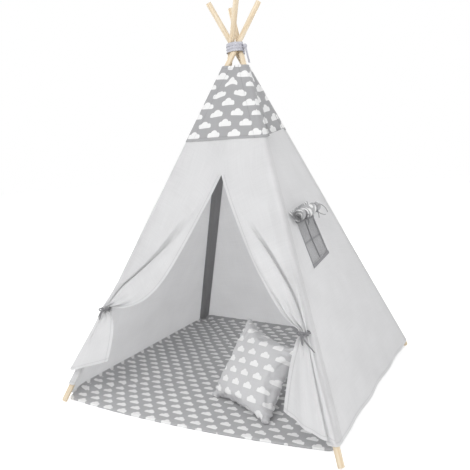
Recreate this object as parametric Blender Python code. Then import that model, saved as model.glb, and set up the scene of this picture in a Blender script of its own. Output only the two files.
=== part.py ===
"""Play tent: four wooden poles tied where they cross, a cloth cover with a tied-back doorway,
a window with a rolled blind, a floor mat and a cushion.

Metres, +Z up. The origin is on the floor under the middle of the mat, and the doorway faces -Y.
Each pole leans in the upright plane through its corner. The four of them pass each other in a
pinwheel, so each axis misses the middle of the tent by the same small offset.
"""

import math

import bmesh
import bpy
from mathutils import Matrix, Vector

# Poles
POLE_LENGTH = 1.8
POLE_TOP_LENGTH = 0.2  # above the crossing
POLE_RADIUS = 0.011
POLE_PASSING_GAP = 0.002  # between neighbouring poles where they cross
FOOT_HALF_X = 0.577
FOOT_HALF_Y = 0.549
POLE_JOINT_FROM_FOOT = 0.9
FERRULE_LENGTH = 0.08
FERRULE_WALL = 0.0008
POLE_SIDES = 16

# Crown: a cord threaded through all four poles, and a tape wound round them
CORD_RADIUS = 0.003
CORD_KNOT_RADIUS = 0.0055
CORD_KNOT_LENGTH = 0.006
TAPE_TURNS = 3
TAPE_WIDTH = 0.0125
TAPE_THICKNESS = 0.0022
TAPE_TURN_GAP = 0.0012
TAPE_STEPS = 24  # points in one turn
TAIL_WIDTH = 0.014
TAIL_LENGTH = 0.068
TAIL_KNOT_RADIUS = 0.009
TAIL_TURN = math.radians(-4)  # where the tail hangs, measured round from +X
TAIL_OUT = 0.012  # how much farther out its end lies than its knot
TAIL_ASIDE = 0.008

# Cover
CLOTH = 0.0022
SLEEVE_WALL = 0.0018
SLEEVE_TO_WALL = 0.0005
SLEEVE_TOP = 1.12
HEM_HEIGHTS = (0.075, 0.065, 0.03, 0.03)  # at the four corners
BAND_BOTTOM = 1.028
BAND_TOP = 1.315

# Doorway
SLIT_TOP = 0.888
SLIT_SHIFT = 0.016  # from the middle of the front, towards its right
TIE_HEIGHT = 0.378
EDGE_SWAG = (2.2, 1.3)  # powers that set how deep the drapes' free edges hang, left and right
EDGE_HOLD = (3.6, 1.6)  # powers that set how long these edges keep away from their corners
CORNER_SWAG = 1.2
DRAPE_FOLD_DEPTH = 0.018
DRAPE_PLEATS = 2
DRAPE_STEPS = 11
STAND_OUT_START = 0.35  # share of the fall where a drape starts to stand out from its corner
GATHER_START = 0.7  # share of the fall where its corner side starts to draw in to the tie
NECK_HALF_WIDTH = 0.012
NECK_FOLD_DEPTH = 0.007
NECK_HALF_HEIGHT = 0.010
NECK_FROM_CORNER = 0.022
NECK_OUT = 0.0145
SKIRT_STEPS = 9
SKIRT_SPREAD = 0.75  # power that sets how soon a skirt spreads under its tie
SKIRT_WIDTHS = (0.165, 0.158)
SKIRT_HEM_AT_CORNER = (0.14, 0.075)
SKIRT_HEM_AT_EDGE = (0.198, 0.139)
SKIRT_FLARES = (0.03, 0.01)
SKIRT_FOLD_DEPTH = 0.013
SKIRT_FROM_CORNER = 0.007
RIBBON_WIDTH = 0.009
RIBBON_THICKNESS = 0.0014
BOW_KNOT_RADIUS = 0.0065
BOW_TAIL_LENGTHS = (0.06, 0.075)
BOW_TAIL_SPREAD = 0.012
BOW_TAIL_LIFT = 0.002
TAIL_RIBBON_WIDTH = 0.0072  # where a ribbon's loose end curls in a little

# Window
WINDOW_WIDTH = 0.19
WINDOW_BOTTOM = 0.545
WINDOW_TOP = 0.7
WINDOW_SHIFT = -0.073  # from the middle of the right wall, towards its front
PANE_THICKNESS = 0.001
BINDING_WIDTH = 0.01
BINDING_OVERLAP = 0.003
BINDING_THICKNESS = 0.0011
CROSS_WIDTH = 0.005
BLIND_LENGTH = 0.235
BLIND_ROLL_RADIUS = 0.024
BLIND_STRIP = 0.002
BLIND_SEAM_GAP = 0.0006
BLIND_BEND = 0.006  # how far under its seam the strip stands clear of the window's binding
BLIND_SEAM_HEIGHT = 0.757
BLIND_DROP = 0.032  # along the wall, from the seam to the middle of the roll
BLIND_TIE_SPACING = 0.15
BLIND_TAIL_LENGTH = 0.05
BLIND_KNOT_TURN = math.radians(37)  # below level, round the roll

# Mat and cushion
MAT_HALF_X = 0.555
MAT_SHIFT = -0.015  # its middle lies a little towards the left wall
MAT_FRONT = 0.502
MAT_FRONT_SKEW = 0.04  # how much farther forward its front left corner lies, and back its right
MAT_BACK = 0.545
MAT_FRONT_BULGE = 0.034
MAT_CORNER_RADIUS = 0.03
MAT_THICKNESS = 0.01
MAT_EDGE = 0.003  # how far its edges are rounded in
CUSHION_SIZE = 0.31
CUSHION_THICKNESS = 0.115
CUSHION_DRAW_IN = 0.07  # share that the middle of each side pulls in
CUSHION_CROWN = 0.42  # power that sets how full it is near its seam
CUSHION_LEAN = math.radians(35)  # back from upright
CUSHION_TURN = math.radians(-22.5)
CUSHION_X = 0.142
CUSHION_Y = -0.356
CUSHION_SINK = 0.006  # how much of it the mat flattens
CUSHION_STEPS = 16

FIT_GAP = 0.0003

# Worked out from the values above
POLE_BELOW = POLE_LENGTH - POLE_TOP_LENGTH
LEAN = math.asin(math.hypot(FOOT_HALF_X, FOOT_HALF_Y) / POLE_BELOW)
CROSSING_HEIGHT = POLE_BELOW * math.cos(LEAN) + POLE_RADIUS * math.sin(LEAN)
POLE_OFFSET = (
    (2 * POLE_RADIUS + POLE_PASSING_GAP)
    * math.hypot(1, math.cos(LEAN))
    / (2 * math.cos(LEAN))
)
FERRULE_RADIUS = POLE_RADIUS + FIT_GAP + FERRULE_WALL
SLEEVE_BORE = FERRULE_RADIUS + FIT_GAP
CORD_HOLE_RADIUS = CORD_RADIUS + 2 * FIT_GAP
WALL_LEAN = math.atan(FOOT_HALF_X / CROSSING_HEIGHT)
CLOTH_LEVEL = CLOTH / math.cos(WALL_LEAN)
# How far a pocket reaches level from the pole's axis towards a wall, which faces halfway
# between the pole's lean and its tangent
SLEEVE_REACH = SLEEVE_BORE * math.sqrt((1 / math.cos(LEAN) ** 2 + 1) / 2) + SLEEVE_WALL
COVER_INSIDE = SLEEVE_REACH + SLEEVE_TO_WALL
COVER_OUTSIDE = COVER_INSIDE + CLOTH_LEVEL
COVER_MIDDLE = (COVER_INSIDE + COVER_OUTSIDE) / 2
MITRE_GAP = 0.8 * FIT_GAP
SQUARE_EDGE = CLOTH_LEVEL / 2 + 2 * FIT_GAP  # a square edge that clears the next wall's mitre

# Corners run counterclockwise seen from above, and side i runs from corner i to corner i + 1.
CORNERS = (
    ("front_left", -1, -1),
    ("front_right", 1, -1),
    ("back_right", 1, 1),
    ("back_left", -1, 1),
)
FRONT, RIGHT, BACK, LEFT = range(4)
HANDS = ("left", "right")  # of the doorway, at corners 0 and 1


def pole_directions(i):
    """The level directions from the middle towards foot i, and square to that."""
    _, side_x, side_y = CORNERS[i % 4]
    outward = Vector((side_x * FOOT_HALF_X, side_y * FOOT_HALF_Y, 0)).normalized()
    return outward, Vector((-outward.y, outward.x, 0))


def pole_centre(i, z):
    """The point of pole i's axis at height z."""
    outward, across = pole_directions(i)
    reach = (CROSSING_HEIGHT - z) * math.tan(LEAN)
    return outward * reach + across * POLE_OFFSET + Vector((0, 0, z))


def side_normal(i, z):
    """The level direction that side i faces at height z."""
    run = pole_centre(i + 1, z) - pole_centre(i, z)
    return Vector((run.y, -run.x, 0)).normalized()


def cover_corner(i, z, offset):
    """Corner i of the outline that lies a level offset outside the pole axes."""
    before, after = side_normal(i - 1, z), side_normal(i, z)
    mitre = (before + after) / (1 + before.dot(after))
    return pole_centre(i, z) + mitre * offset


def smooth(x):
    x = min(max(x, 0.0), 1.0)
    return x * x * (3 - 2 * x)


def mix(a, b, share):
    return a + (b - a) * share


def make_material(name, colour, roughness, metallic=0.0):
    material = bpy.data.materials.new(name)
    material.use_nodes = True
    shader = material.node_tree.nodes["Principled BSDF"]
    shader.inputs["Base Color"].default_value = (*colour, 1)
    shader.inputs["Roughness"].default_value = roughness
    shader.inputs["Metallic"].default_value = metallic
    return material


def add_object(name, bm, material, origin=None, parent=None):
    """A mesh object of its own from a bmesh in world metres, or in its parent's."""
    bmesh.ops.remove_doubles(bm, verts=bm.verts, dist=1e-6)
    bmesh.ops.recalc_face_normals(bm, faces=bm.faces)
    if bm.calc_volume(signed=True) < 0:
        bmesh.ops.reverse_faces(bm, faces=bm.faces)
    if origin is not None:
        bmesh.ops.translate(bm, verts=bm.verts, vec=-origin)
    mesh = bpy.data.meshes.new(name)
    bm.to_mesh(mesh)
    bm.free()
    mesh.materials.append(material)
    mesh.shade_smooth()
    mesh.set_sharp_from_angle(angle=math.radians(35))
    obj = bpy.data.objects.new(name, mesh)
    bpy.context.scene.collection.objects.link(obj)
    if origin is not None:
        obj.location = origin
    obj.parent = parent
    return obj


def add_on(pivot, name, bm, material):
    """A mesh object parented to a pivot, from a bmesh in world metres."""
    bmesh.ops.transform(bm, matrix=pivot.matrix_basis.inverted(), verts=bm.verts)
    return add_object(name, bm, material, parent=pivot)


def add_empty(name, location, rotation=None):
    empty = bpy.data.objects.new(name, None)
    empty.location = location
    if rotation is not None:
        empty.rotation_euler = rotation.to_euler()
    bpy.context.scene.collection.objects.link(empty)
    return empty


def as_tool(obj):
    """Marks an object that only cuts or joins another one."""
    obj.hide_render = True
    obj.display_type = "WIRE"
    return obj


def combine(obj, tool, operation):
    modifier = obj.modifiers.new(tool.name, "BOOLEAN")
    modifier.operation = operation
    modifier.solver = "EXACT"
    modifier.object = as_tool(tool)


def loft(rings, loop=False):
    """A closed bmesh over rings of points. A loop of rings closes on itself and has no caps."""
    bm = bmesh.new()
    made = [[bm.verts.new(p) for p in ring] for ring in rings]
    count = len(made[0])
    pairs = list(zip(made, made[1:]))
    if loop:
        pairs.append((made[-1], made[0]))
    for a, b in pairs:
        for k in range(count):
            n = (k + 1) % count
            bm.faces.new((a[k], a[n], b[n], b[k]))
    if not loop:
        bm.faces.new(reversed(made[0]))
        bm.faces.new(made[-1])
    return bm


def slab(inner, outer, open_cells=()):
    """A closed bmesh between two grids of points, with some cells of the grid left open."""
    bm = bmesh.new()
    near = [[bm.verts.new(p) for p in row] for row in inner]
    far = [[bm.verts.new(p) for p in row] for row in outer]
    cells = {
        (i, j)
        for i in range(len(near) - 1)
        for j in range(len(near[0]) - 1)
        if (i, j) not in open_cells
    }
    for i, j in sorted(cells):
        around = ((i, j), (i, j + 1), (i + 1, j + 1), (i + 1, j))
        beside = ((i - 1, j), (i, j + 1), (i + 1, j), (i, j - 1))
        bm.faces.new([near[a][b] for a, b in around])
        bm.faces.new([far[a][b] for a, b in reversed(around)])
        for k, cell in enumerate(beside):
            if cell in cells:
                continue
            (a, b), (c, d) = around[k], around[(k + 1) % 4]
            bm.faces.new((near[c][d], near[a][b], far[a][b], far[c][d]))
    loose = [v for v in bm.verts if not v.link_faces]
    bmesh.ops.delete(bm, geom=loose, context="VERTS")
    bmesh.ops.triangulate(bm, faces=bm.faces, quad_method="FIXED")
    return bm


def circle(radius, z, sides, turn=0.0):
    step = math.tau / sides
    return [
        Vector((radius * math.cos(turn + k * step), radius * math.sin(turn + k * step), z))
        for k in range(sides)
    ]


def strip(path, across, width, thickness, loop=False):
    """A flat ribbon along a path. across is the direction of its width at each point."""
    rings = []
    last = len(path) - 1
    for k, p in enumerate(path):
        after = path[(k + 1) % len(path)] if loop else path[min(k + 1, last)]
        before = path[k - 1] if loop else path[max(k - 1, 0)]
        wide = across[k] * (width / 2)
        thick = (after - before).cross(across[k]).normalized() * (thickness / 2)
        rings.append([p - wide - thick, p + wide - thick, p + wide + thick, p - wide + thick])
    return loft(rings, loop)


def ball(centre, radii, segments=12, rings=8):
    bm = bmesh.new()
    shape = Matrix.Translation(centre) @ Matrix.Diagonal((*radii, 1))
    bmesh.ops.create_uvsphere(
        bm, u_segments=segments, v_segments=rings, radius=1, matrix=shape
    )
    return bm


def build_pole(i, pivot, wood, metal):
    """Both halves of pole i and the ferrule between them, along the pivot's own Z."""
    name = CORNERS[i][0]
    joint = POLE_JOINT_FROM_FOOT - POLE_BELOW
    lower = [
        circle(POLE_RADIUS, z, POLE_SIDES) for z in (-POLE_BELOW, joint - FIT_GAP / 2)
    ]
    add_object(f"pole_{name}_lower", loft(lower), wood, parent=pivot)
    upper = [
        circle(POLE_RADIUS, z, POLE_SIDES) for z in (joint + FIT_GAP / 2, POLE_TOP_LENGTH)
    ]
    pole = add_object(f"pole_{name}_upper", loft(upper), wood, parent=pivot)
    hole = loft([circle(CORD_HOLE_RADIUS, z, 12) for z in (-2 * POLE_RADIUS, 2 * POLE_RADIUS)])
    bmesh.ops.rotate(
        hole, verts=hole.verts, matrix=Matrix.Rotation(math.pi / 2, 3, "X")
    )
    combine(pole, add_object(f"cord_hole_{name}", hole, wood, parent=pivot), "DIFFERENCE")
    low, high = joint - FERRULE_LENGTH / 2, joint + FERRULE_LENGTH / 2
    inside = POLE_RADIUS + FIT_GAP
    rings = [
        circle(FERRULE_RADIUS, low, POLE_SIDES),
        circle(FERRULE_RADIUS, high, POLE_SIDES),
        circle(inside, high, POLE_SIDES),
        circle(inside, low, POLE_SIDES),
    ]
    add_object(f"pole_{name}_ferrule", loft(rings, loop=True), metal, parent=pivot)


def pole_section(i, z, radius, sides):
    """The level section of a round bar of this radius on pole i's axis."""
    outward, across = pole_directions(i)
    step = math.tau / sides
    return [
        pole_centre(i, z)
        + outward * (radius / math.cos(LEAN) * math.cos(k * step))
        + across * (radius * math.sin(k * step))
        for k in range(sides)
    ]


def sleeve_section(i, z, sides):
    """The pocket's level outline: along both walls in the corner, then round the pole."""
    before, after = side_normal(i - 1, z), side_normal(i, z)
    bisector = (before + after).normalized()
    corner_reach = SLEEVE_REACH / bisector.dot(before)
    round_reach = SLEEVE_BORE / math.cos(LEAN) + SLEEVE_WALL
    tangent = math.pi / 2 + math.acos(round_reach / corner_reach)
    start = math.atan2(*pole_directions(i)[0].yx)
    points = []
    for k in range(sides):
        turn = start + k * math.tau / sides
        way = Vector((math.cos(turn), math.sin(turn), 0))
        away = bisector.angle(way)
        wall = max(way.dot(before), way.dot(after))
        if away <= math.pi / 2:
            reach = min(SLEEVE_REACH / wall, corner_reach)
        else:
            reach = round_reach / math.cos(max(tangent - away, 0))
        points.append(pole_centre(i, z) + way * reach)
    return points


def wall_levels():
    """Heights at which the walls and pockets have a row of points, above the hem."""
    above = [mix(BLIND_SEAM_HEIGHT, BAND_BOTTOM, share) for share in (0, 0.4, 0.75)]
    return [WINDOW_BOTTOM, WINDOW_TOP, *above]


def band_levels():
    """The same for the printed band, closer together where the poles draw in."""
    shares = (0, 0.2, 0.38, 0.54, 0.68, 0.8, 0.9, 1)
    return [mix(BAND_BOTTOM, BAND_TOP, share) for share in shares]


def build_sleeve(i, cloth, pivot):
    """The pocket that holds pole i in the corner of the cover."""
    between = [z for z in wall_levels() + band_levels() if HEM_HEIGHTS[i] < z < SLEEVE_TOP]
    levels = [HEM_HEIGHTS[i]] + between + [SLEEVE_TOP]
    outside = [sleeve_section(i, z, POLE_SIDES) for z in levels]
    inside = [pole_section(i, z, SLEEVE_BORE, POLE_SIDES) for z in reversed(levels)]
    bm = loft(outside + inside, loop=True)
    bmesh.ops.triangulate(bm, faces=bm.faces, quad_method="FIXED")
    add_on(pivot, f"sleeve_{CORNERS[i][0]}", bm, cloth)


def side_row(i, heights, stations, offset):
    """Points along side i. A station is a share of the run, and metres along from there."""
    start = cover_corner(i, heights[0], offset)
    end = cover_corner(i + 1, heights[1], offset)
    along = (end - start).normalized()
    return [start.lerp(end, share) + along * metres for share, metres in stations]


def side_slab(i, levels, stations, inside, outside, open_cells=()):
    """A sheet on side i between two level offsets from the pole axes."""
    inner = [side_row(i, heights, stations, inside) for heights in levels]
    outer = [side_row(i, heights, stations, outside) for heights in levels]
    return slab(inner, outer, open_cells)


def side_ends():
    """Stations at both corners of a side, and where its pockets end on it."""
    pocket = 2 * COVER_OUTSIDE
    return [(0, MITRE_GAP), (0, pocket), (1, -pocket), (1, -MITRE_GAP)]


def build_walls(cloth):
    """The right, back and left walls, from the hem to the printed band."""
    ends = side_ends()
    above = [(z, z) for z in wall_levels()] + [(BAND_BOTTOM - FIT_GAP,) * 2]
    for i, name in ((BACK, "wall_back"), (LEFT, "wall_left")):
        levels = [(HEM_HEIGHTS[i], HEM_HEIGHTS[(i + 1) % 4])] + above
        bm = side_slab(i, levels, ends, COVER_INSIDE, COVER_OUTSIDE)
        add_object(name, bm, cloth)
    half = WINDOW_WIDTH / 2
    window = [(0.5, WINDOW_SHIFT - half), (0.5, WINDOW_SHIFT + half)]
    levels = [(HEM_HEIGHTS[RIGHT], HEM_HEIGHTS[RIGHT + 1])] + above
    stations = ends[:2] + window + ends[2:]
    bm = side_slab(RIGHT, levels, stations, COVER_INSIDE, COVER_OUTSIDE, {(1, 2)})
    add_object("wall_right", bm, cloth)


def build_band(cloth):
    """The four printed panels round the top of the cover."""
    ends = side_ends()
    levels = [(z, z) for z in band_levels()]
    for i, name in enumerate(("front", "right", "back", "left")):
        bm = side_slab(i, levels, ends, COVER_INSIDE, COVER_OUTSIDE)
        add_object(f"band_{name}", bm, cloth)


def front_point(hand, z, from_corner, out):
    """A point of the front, by its distance along from the corner and out from the cloth."""
    start = cover_corner(hand, z, COVER_MIDDLE)
    end = cover_corner(1 - hand, z, COVER_MIDDLE)
    along = (end - start).normalized()
    return start + along * from_corner + side_normal(FRONT, z) * out


def seam_from_corner(hand, z):
    """How far from the corner the middle seam of the front lies."""
    width = (cover_corner(0, z, COVER_MIDDLE) - cover_corner(1, z, COVER_MIDDLE)).length
    shift = SLIT_SHIFT if hand == 0 else -SLIT_SHIFT
    return width / 2 + shift - FIT_GAP / 2


NECK_NEAR = NECK_FROM_CORNER - NECK_HALF_WIDTH
NECK_FAR = NECK_FROM_CORNER + NECK_HALF_WIDTH
COLUMNS = 12  # of cells across a drape or skirt


def neck_row(height):
    """The gathered cloth where the ribbon holds it, the same on both hands."""
    row = []
    for k in range(COLUMNS + 1):
        v = k / COLUMNS
        fold = NECK_FOLD_DEPTH * math.cos(math.tau * DRAPE_PLEATS * v)
        row.append((height, mix(NECK_FAR, NECK_NEAR, v), NECK_OUT + fold))
    return row


def drape_rows(hand):
    """Rows of (height, distance from the corner, distance out) from the band down to the tie."""
    rows = []
    top = BAND_BOTTOM - FIT_GAP
    for z in (top, mix(top, SLIT_TOP, 0.5)):
        far = seam_from_corner(hand, z)
        rows.append(
            [(z, mix(far, SQUARE_EDGE, k / COLUMNS), 0.0) for k in range(COLUMNS + 1)]
        )
    neck_top = TIE_HEIGHT + NECK_HALF_HEIGHT
    fall = SLIT_TOP - neck_top
    for n in range(DRAPE_STEPS):
        s = n / DRAPE_STEPS
        gather = smooth((s - GATHER_START) / (1 - GATHER_START))
        edge_z = neck_top + fall * (1 - s) ** EDGE_SWAG[hand]
        corner_z = neck_top + fall * (1 - s) ** CORNER_SWAG
        edge = mix(seam_from_corner(hand, SLIT_TOP), NECK_FAR, s ** EDGE_HOLD[hand])
        corner = mix(SQUARE_EDGE, NECK_NEAR, gather)
        out = NECK_OUT * smooth((s - STAND_OUT_START) / (1 - STAND_OUT_START))
        depth = mix(DRAPE_FOLD_DEPTH * smooth(s / GATHER_START), NECK_FOLD_DEPTH, gather)
        row = []
        for k in range(COLUMNS + 1):
            v = k / COLUMNS
            # The folds die out towards the corner, where the cloth lies against its pocket.
            fold = depth * math.cos(math.tau * DRAPE_PLEATS * v) * (1 - (1 - s**4) * v)
            fold = max(fold, -out) if v > 0.6 else fold
            row.append((mix(edge_z, corner_z, v), mix(edge, corner, v), out + fold))
        rows.append(row)
    return rows + [neck_row(neck_top), neck_row(TIE_HEIGHT)]


def skirt_rows(hand):
    """Rows from just under the tie down to the hem of the loose cloth there."""
    rows = [neck_row(TIE_HEIGHT - FIT_GAP)]
    neck_foot = TIE_HEIGHT - NECK_HALF_HEIGHT
    for n in range(SKIRT_STEPS + 1):
        r = n / SKIRT_STEPS
        edge_z = mix(neck_foot, SKIRT_HEM_AT_EDGE[hand], r)
        corner_z = mix(neck_foot, SKIRT_HEM_AT_CORNER[hand], r)
        edge = mix(NECK_FAR, SKIRT_WIDTHS[hand], r**SKIRT_SPREAD)
        corner = mix(NECK_NEAR, SKIRT_FROM_CORNER, r)
        out = mix(NECK_OUT, SKIRT_FLARES[hand], r)
        depth = mix(NECK_FOLD_DEPTH, SKIRT_FOLD_DEPTH, smooth(r / 0.6))
        row = []
        for k in range(COLUMNS + 1):
            v = k / COLUMNS
            fold = depth * math.cos(math.tau * DRAPE_PLEATS * v) * (1 - r * v)
            row.append((mix(edge_z, corner_z, v), mix(edge, corner, v), out + fold))
        rows.append(row)
    return rows


def cloth_from_rows(hand, rows):
    half = CLOTH_LEVEL / 2
    inner = [[front_point(hand, z, a, out - half) for z, a, out in row] for row in rows]
    outer = [[front_point(hand, z, a, out + half) for z, a, out in row] for row in rows]
    return slab(inner, outer)


def door_axis(hand):
    """The line that the skirt turns about: from the tied neck to the hem at the corner."""
    neck = front_point(hand, TIE_HEIGHT, NECK_FROM_CORNER, NECK_OUT)
    foot = front_point(
        hand, SKIRT_HEM_AT_CORNER[hand], SKIRT_FROM_CORNER, SKIRT_FLARES[hand]
    )
    return neck, foot


def build_front(cloth, ribbon, pole_pivots):
    """Each half of the front: the drape, the skirt under its tie, and the tie on its pole."""
    for hand, name in enumerate(HANDS):
        add_object(f"front_drape_{name}", cloth_from_rows(hand, drape_rows(hand)), cloth)
        neck, foot = door_axis(hand)
        rotation = (neck - foot).to_track_quat("Z", "Y").to_matrix()
        pivot = add_empty(f"door_pivot_{name}", neck, rotation)
        add_on(pivot, f"door_skirt_{name}", cloth_from_rows(hand, skirt_rows(hand)), cloth)
        build_tieback(hand, name, pole_pivots[hand], ribbon)


def tie_point(hand, aside, out, drop=0.0):
    """A point beside the tied neck: along the front, out from it and down from the tie."""
    return front_point(hand, TIE_HEIGHT - drop, NECK_FROM_CORNER + aside, NECK_OUT + out)


def build_tieback(hand, name, pivot, ribbon):
    """A ribbon round the gathered cloth, its knot, and its two loose ends."""
    steps = 20
    clear = FIT_GAP + RIBBON_THICKNESS / 2
    wide = NECK_HALF_WIDTH * math.sqrt(2) + clear
    deep = (NECK_FOLD_DEPTH + CLOTH_LEVEL / 2) * math.sqrt(2) + clear
    up = (tie_point(hand, 0, 0) - tie_point(hand, 0, 0, NECK_HALF_HEIGHT)).normalized()
    turns = [k * math.tau / steps for k in range(steps)]
    path = [tie_point(hand, wide * math.cos(t), deep * math.sin(t)) for t in turns]
    ring = strip(path, [up] * steps, RIBBON_WIDTH, RIBBON_THICKNESS, loop=True)
    tie = add_on(pivot, f"tieback_{name}", ring, ribbon)
    knot_out = deep + BOW_KNOT_RADIUS
    shape = (BOW_KNOT_RADIUS * 1.1, BOW_KNOT_RADIUS, BOW_KNOT_RADIUS * 0.9)
    knot = ball(tie_point(hand, 0, knot_out), shape)
    combine(tie, add_on(pivot, f"knot_{name}", knot, ribbon), "UNION")
    level = side_normal(FRONT, TIE_HEIGHT).cross(Vector((0, 0, 1)))
    for k, length in enumerate(BOW_TAIL_LENGTHS):
        aside = (k - 0.5) * 2 * BOW_TAIL_SPREAD
        path = []
        for share in (0, 0.15, 0.4, 0.7, 1):
            out = knot_out + BOW_TAIL_LIFT * (math.sin(share * math.pi) + share)
            path.append(tie_point(hand, aside * (0.15 + share), out, share * length))
        tail = strip(path, [level] * len(path), TAIL_RIBBON_WIDTH, RIBBON_THICKNESS)
        combine(tie, add_on(pivot, f"tail_{name}_{k}", tail, ribbon), "UNION")


def build_window(sheer, trim, printed, ribbon):
    """The pane in the right wall, its binding, its cross ribbons and the rolled blind."""
    half = WINDOW_WIDTH / 2
    middle = (WINDOW_BOTTOM + WINDOW_TOP) / 2
    left, right = WINDOW_SHIFT - half, WINDOW_SHIFT + half

    pane_in = COVER_MIDDLE - PANE_THICKNESS / 2
    pane_out = COVER_MIDDLE + PANE_THICKNESS / 2
    crossing = [WINDOW_SHIFT - CROSS_WIDTH / 2, WINDOW_SHIFT + CROSS_WIDTH / 2]
    cross_heights = [middle - CROSS_WIDTH / 2, middle + CROSS_WIDTH / 2]
    heights = [WINDOW_BOTTOM + FIT_GAP] + cross_heights + [WINDOW_TOP - FIT_GAP]
    stations = [(0.5, a) for a in [left + FIT_GAP] + crossing + [right - FIT_GAP]]
    levels = [(z, z) for z in heights]
    bm = side_slab(RIGHT, levels, stations, pane_in, pane_out)
    add_object("window_pane", bm, sheer)

    over, width = BINDING_OVERLAP, BINDING_WIDTH
    stations = [
        (0.5, a) for a in (left + over - width, left + over, right - over, right - over + width)
    ]
    heights = (
        WINDOW_BOTTOM + over - width,
        WINDOW_BOTTOM + over,
        WINDOW_TOP - over,
        WINDOW_TOP - over + width,
    )
    levels = [(z, z) for z in heights]
    inside = COVER_OUTSIDE + FIT_GAP
    outside = inside + BINDING_THICKNESS
    bm = side_slab(RIGHT, levels, stations, inside, outside, {(1, 1)})
    add_object("window_binding", bm, trim)

    inset = over + FIT_GAP
    stations = [(0.5, a) for a in [left + inset] + crossing + [right - inset]]
    heights = [WINDOW_BOTTOM + inset] + cross_heights + [WINDOW_TOP - inset]
    levels = [(z, z) for z in heights]
    corners = {(0, 0), (0, 2), (2, 0), (2, 2)}
    inside = pane_out + FIT_GAP
    bm = side_slab(RIGHT, levels, stations, inside, outside, corners)
    add_object("window_cross", bm, trim)
    build_blind(printed, ribbon)


def blind_frame():
    """Where the blind's seam is: its middle, and the directions along, out of and down the wall."""
    seam = side_row(RIGHT, (BLIND_SEAM_HEIGHT,) * 2, ((0.5, WINDOW_SHIFT),), COVER_OUTSIDE)[0]
    lower = side_row(RIGHT, (WINDOW_BOTTOM,) * 2, ((0.5, WINDOW_SHIFT),), COVER_OUTSIDE)[0]
    normal = side_normal(RIGHT, BLIND_SEAM_HEIGHT)
    along = Vector((-normal.y, normal.x, 0))
    down = (lower - seam).normalized()
    down = (down - along * down.dot(along)).normalized()
    return seam, along, along.cross(down) * -1, down


def roll_arc(radius, front, centre):
    """A curve about the roll as (out, down): from its back under it and round to its front strip."""
    steps = 20
    sweep = math.tau - math.acos((centre - front) / radius)
    turns = [math.pi - sweep * k / steps for k in range(steps + 1)]
    return [(centre + radius * math.cos(t), BLIND_DROP + radius * math.sin(t)) for t in turns]


def build_blind(printed, ribbon):
    """The rolled blind on its seam, with a tied ribbon round it near each end."""
    seam, along, out, down = blind_frame()
    pivot = add_empty("blind_pivot", seam)
    back = BINDING_THICKNESS + RIBBON_THICKNESS + 3 * FIT_GAP
    centre = back + BLIND_ROLL_RADIUS
    front = back + BLIND_STRIP
    arc = roll_arc(BLIND_ROLL_RADIUS, front, centre)
    section = [(BLIND_SEAM_GAP, 0), (back, BLIND_BEND), *arc]
    section += [(front, BLIND_BEND), (BLIND_SEAM_GAP + BLIND_STRIP, 0)]
    rings = [
        [along * (BLIND_LENGTH * share) + out * a + down * b for a, b in section]
        for share in (-0.5, 0.5)
    ]
    add_object("window_blind", loft(rings), printed, parent=pivot)

    # Each tie comes down behind the strip and the roll, round it and up again to the seam.
    clear = FIT_GAP + RIBBON_THICKNESS / 2
    radius = BLIND_ROLL_RADIUS + clear
    top, low = BLIND_BEND + RIBBON_THICKNESS, BLIND_DROP / 2
    arc = roll_arc(radius, front + clear, centre)
    path = [(back - clear, top), (back - clear, low), *arc, (front + clear, top)]
    knot_reach = radius + BOW_KNOT_RADIUS
    knot_out = centre + knot_reach * math.cos(BLIND_KNOT_TURN)
    knot_down = BLIND_DROP + knot_reach * math.sin(BLIND_KNOT_TURN)
    for side, name in ((-0.5, "left"), (0.5, "right")):
        middle = along * (side * BLIND_TIE_SPACING)
        points = [middle + out * a + down * b for a, b in path]
        band = strip(points, [along] * len(points), RIBBON_WIDTH, RIBBON_THICKNESS)
        tie = add_object(f"blind_tie_{name}", band, ribbon, parent=pivot)
        spot = middle + out * knot_out + down * knot_down
        knot = ball(spot, (BOW_KNOT_RADIUS,) * 3)
        knot = add_object(f"blind_knot_{name}", knot, ribbon, parent=pivot)
        combine(tie, knot, "UNION")
        hang = Vector((0, 0, -BLIND_TAIL_LENGTH)) + along * (side * BOW_TAIL_SPREAD)
        points = [spot + hang * share for share in (0, 0.3, 0.65, 1)]
        tail = strip(points, [along] * len(points), TAIL_RIBBON_WIDTH, RIBBON_THICKNESS)
        combine(tie, add_object(f"blind_tail_{name}", tail, ribbon, parent=pivot), "UNION")


def build_crown_cord(material):
    """Two crossing lengths of cord, each through two poles, with a stopper knot at each end."""
    pole_face = POLE_OFFSET + POLE_RADIUS + FIT_GAP
    end = pole_face + CORD_KNOT_LENGTH
    profile = [
        (CORD_RADIUS * 0.6, end),
        (CORD_KNOT_RADIUS, end - CORD_KNOT_LENGTH * 0.35),
        (CORD_KNOT_RADIUS, pole_face + CORD_KNOT_LENGTH * 0.2),
        (CORD_RADIUS * 1.4, pole_face),
        (CORD_RADIUS, pole_face),
    ]
    profile = [(r, -z) for r, z in profile] + [(r, z) for r, z in reversed(profile)]
    middle = Vector((0, 0, CROSSING_HEIGHT))
    lengths = []
    for i, name in ((0, "crown_cord"), (1, "crown_cord_across")):
        _, across = pole_directions(i)
        bm = loft([circle(r, z, 8) for r, z in profile])
        turn = Vector((0, 0, 1)).rotation_difference(across).to_matrix().to_4x4()
        bmesh.ops.transform(bm, matrix=Matrix.Translation(middle) @ turn, verts=bm.verts)
        lengths.append(add_object(name, bm, material, origin=middle))
    combine(lengths[0], lengths[1], "UNION")


def poles_reach(z):
    """The farthest that the poles' surfaces reach from the tent's middle line at height z."""
    return max(p.xy.length for p in pole_section(0, z, POLE_RADIUS, 72))


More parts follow.
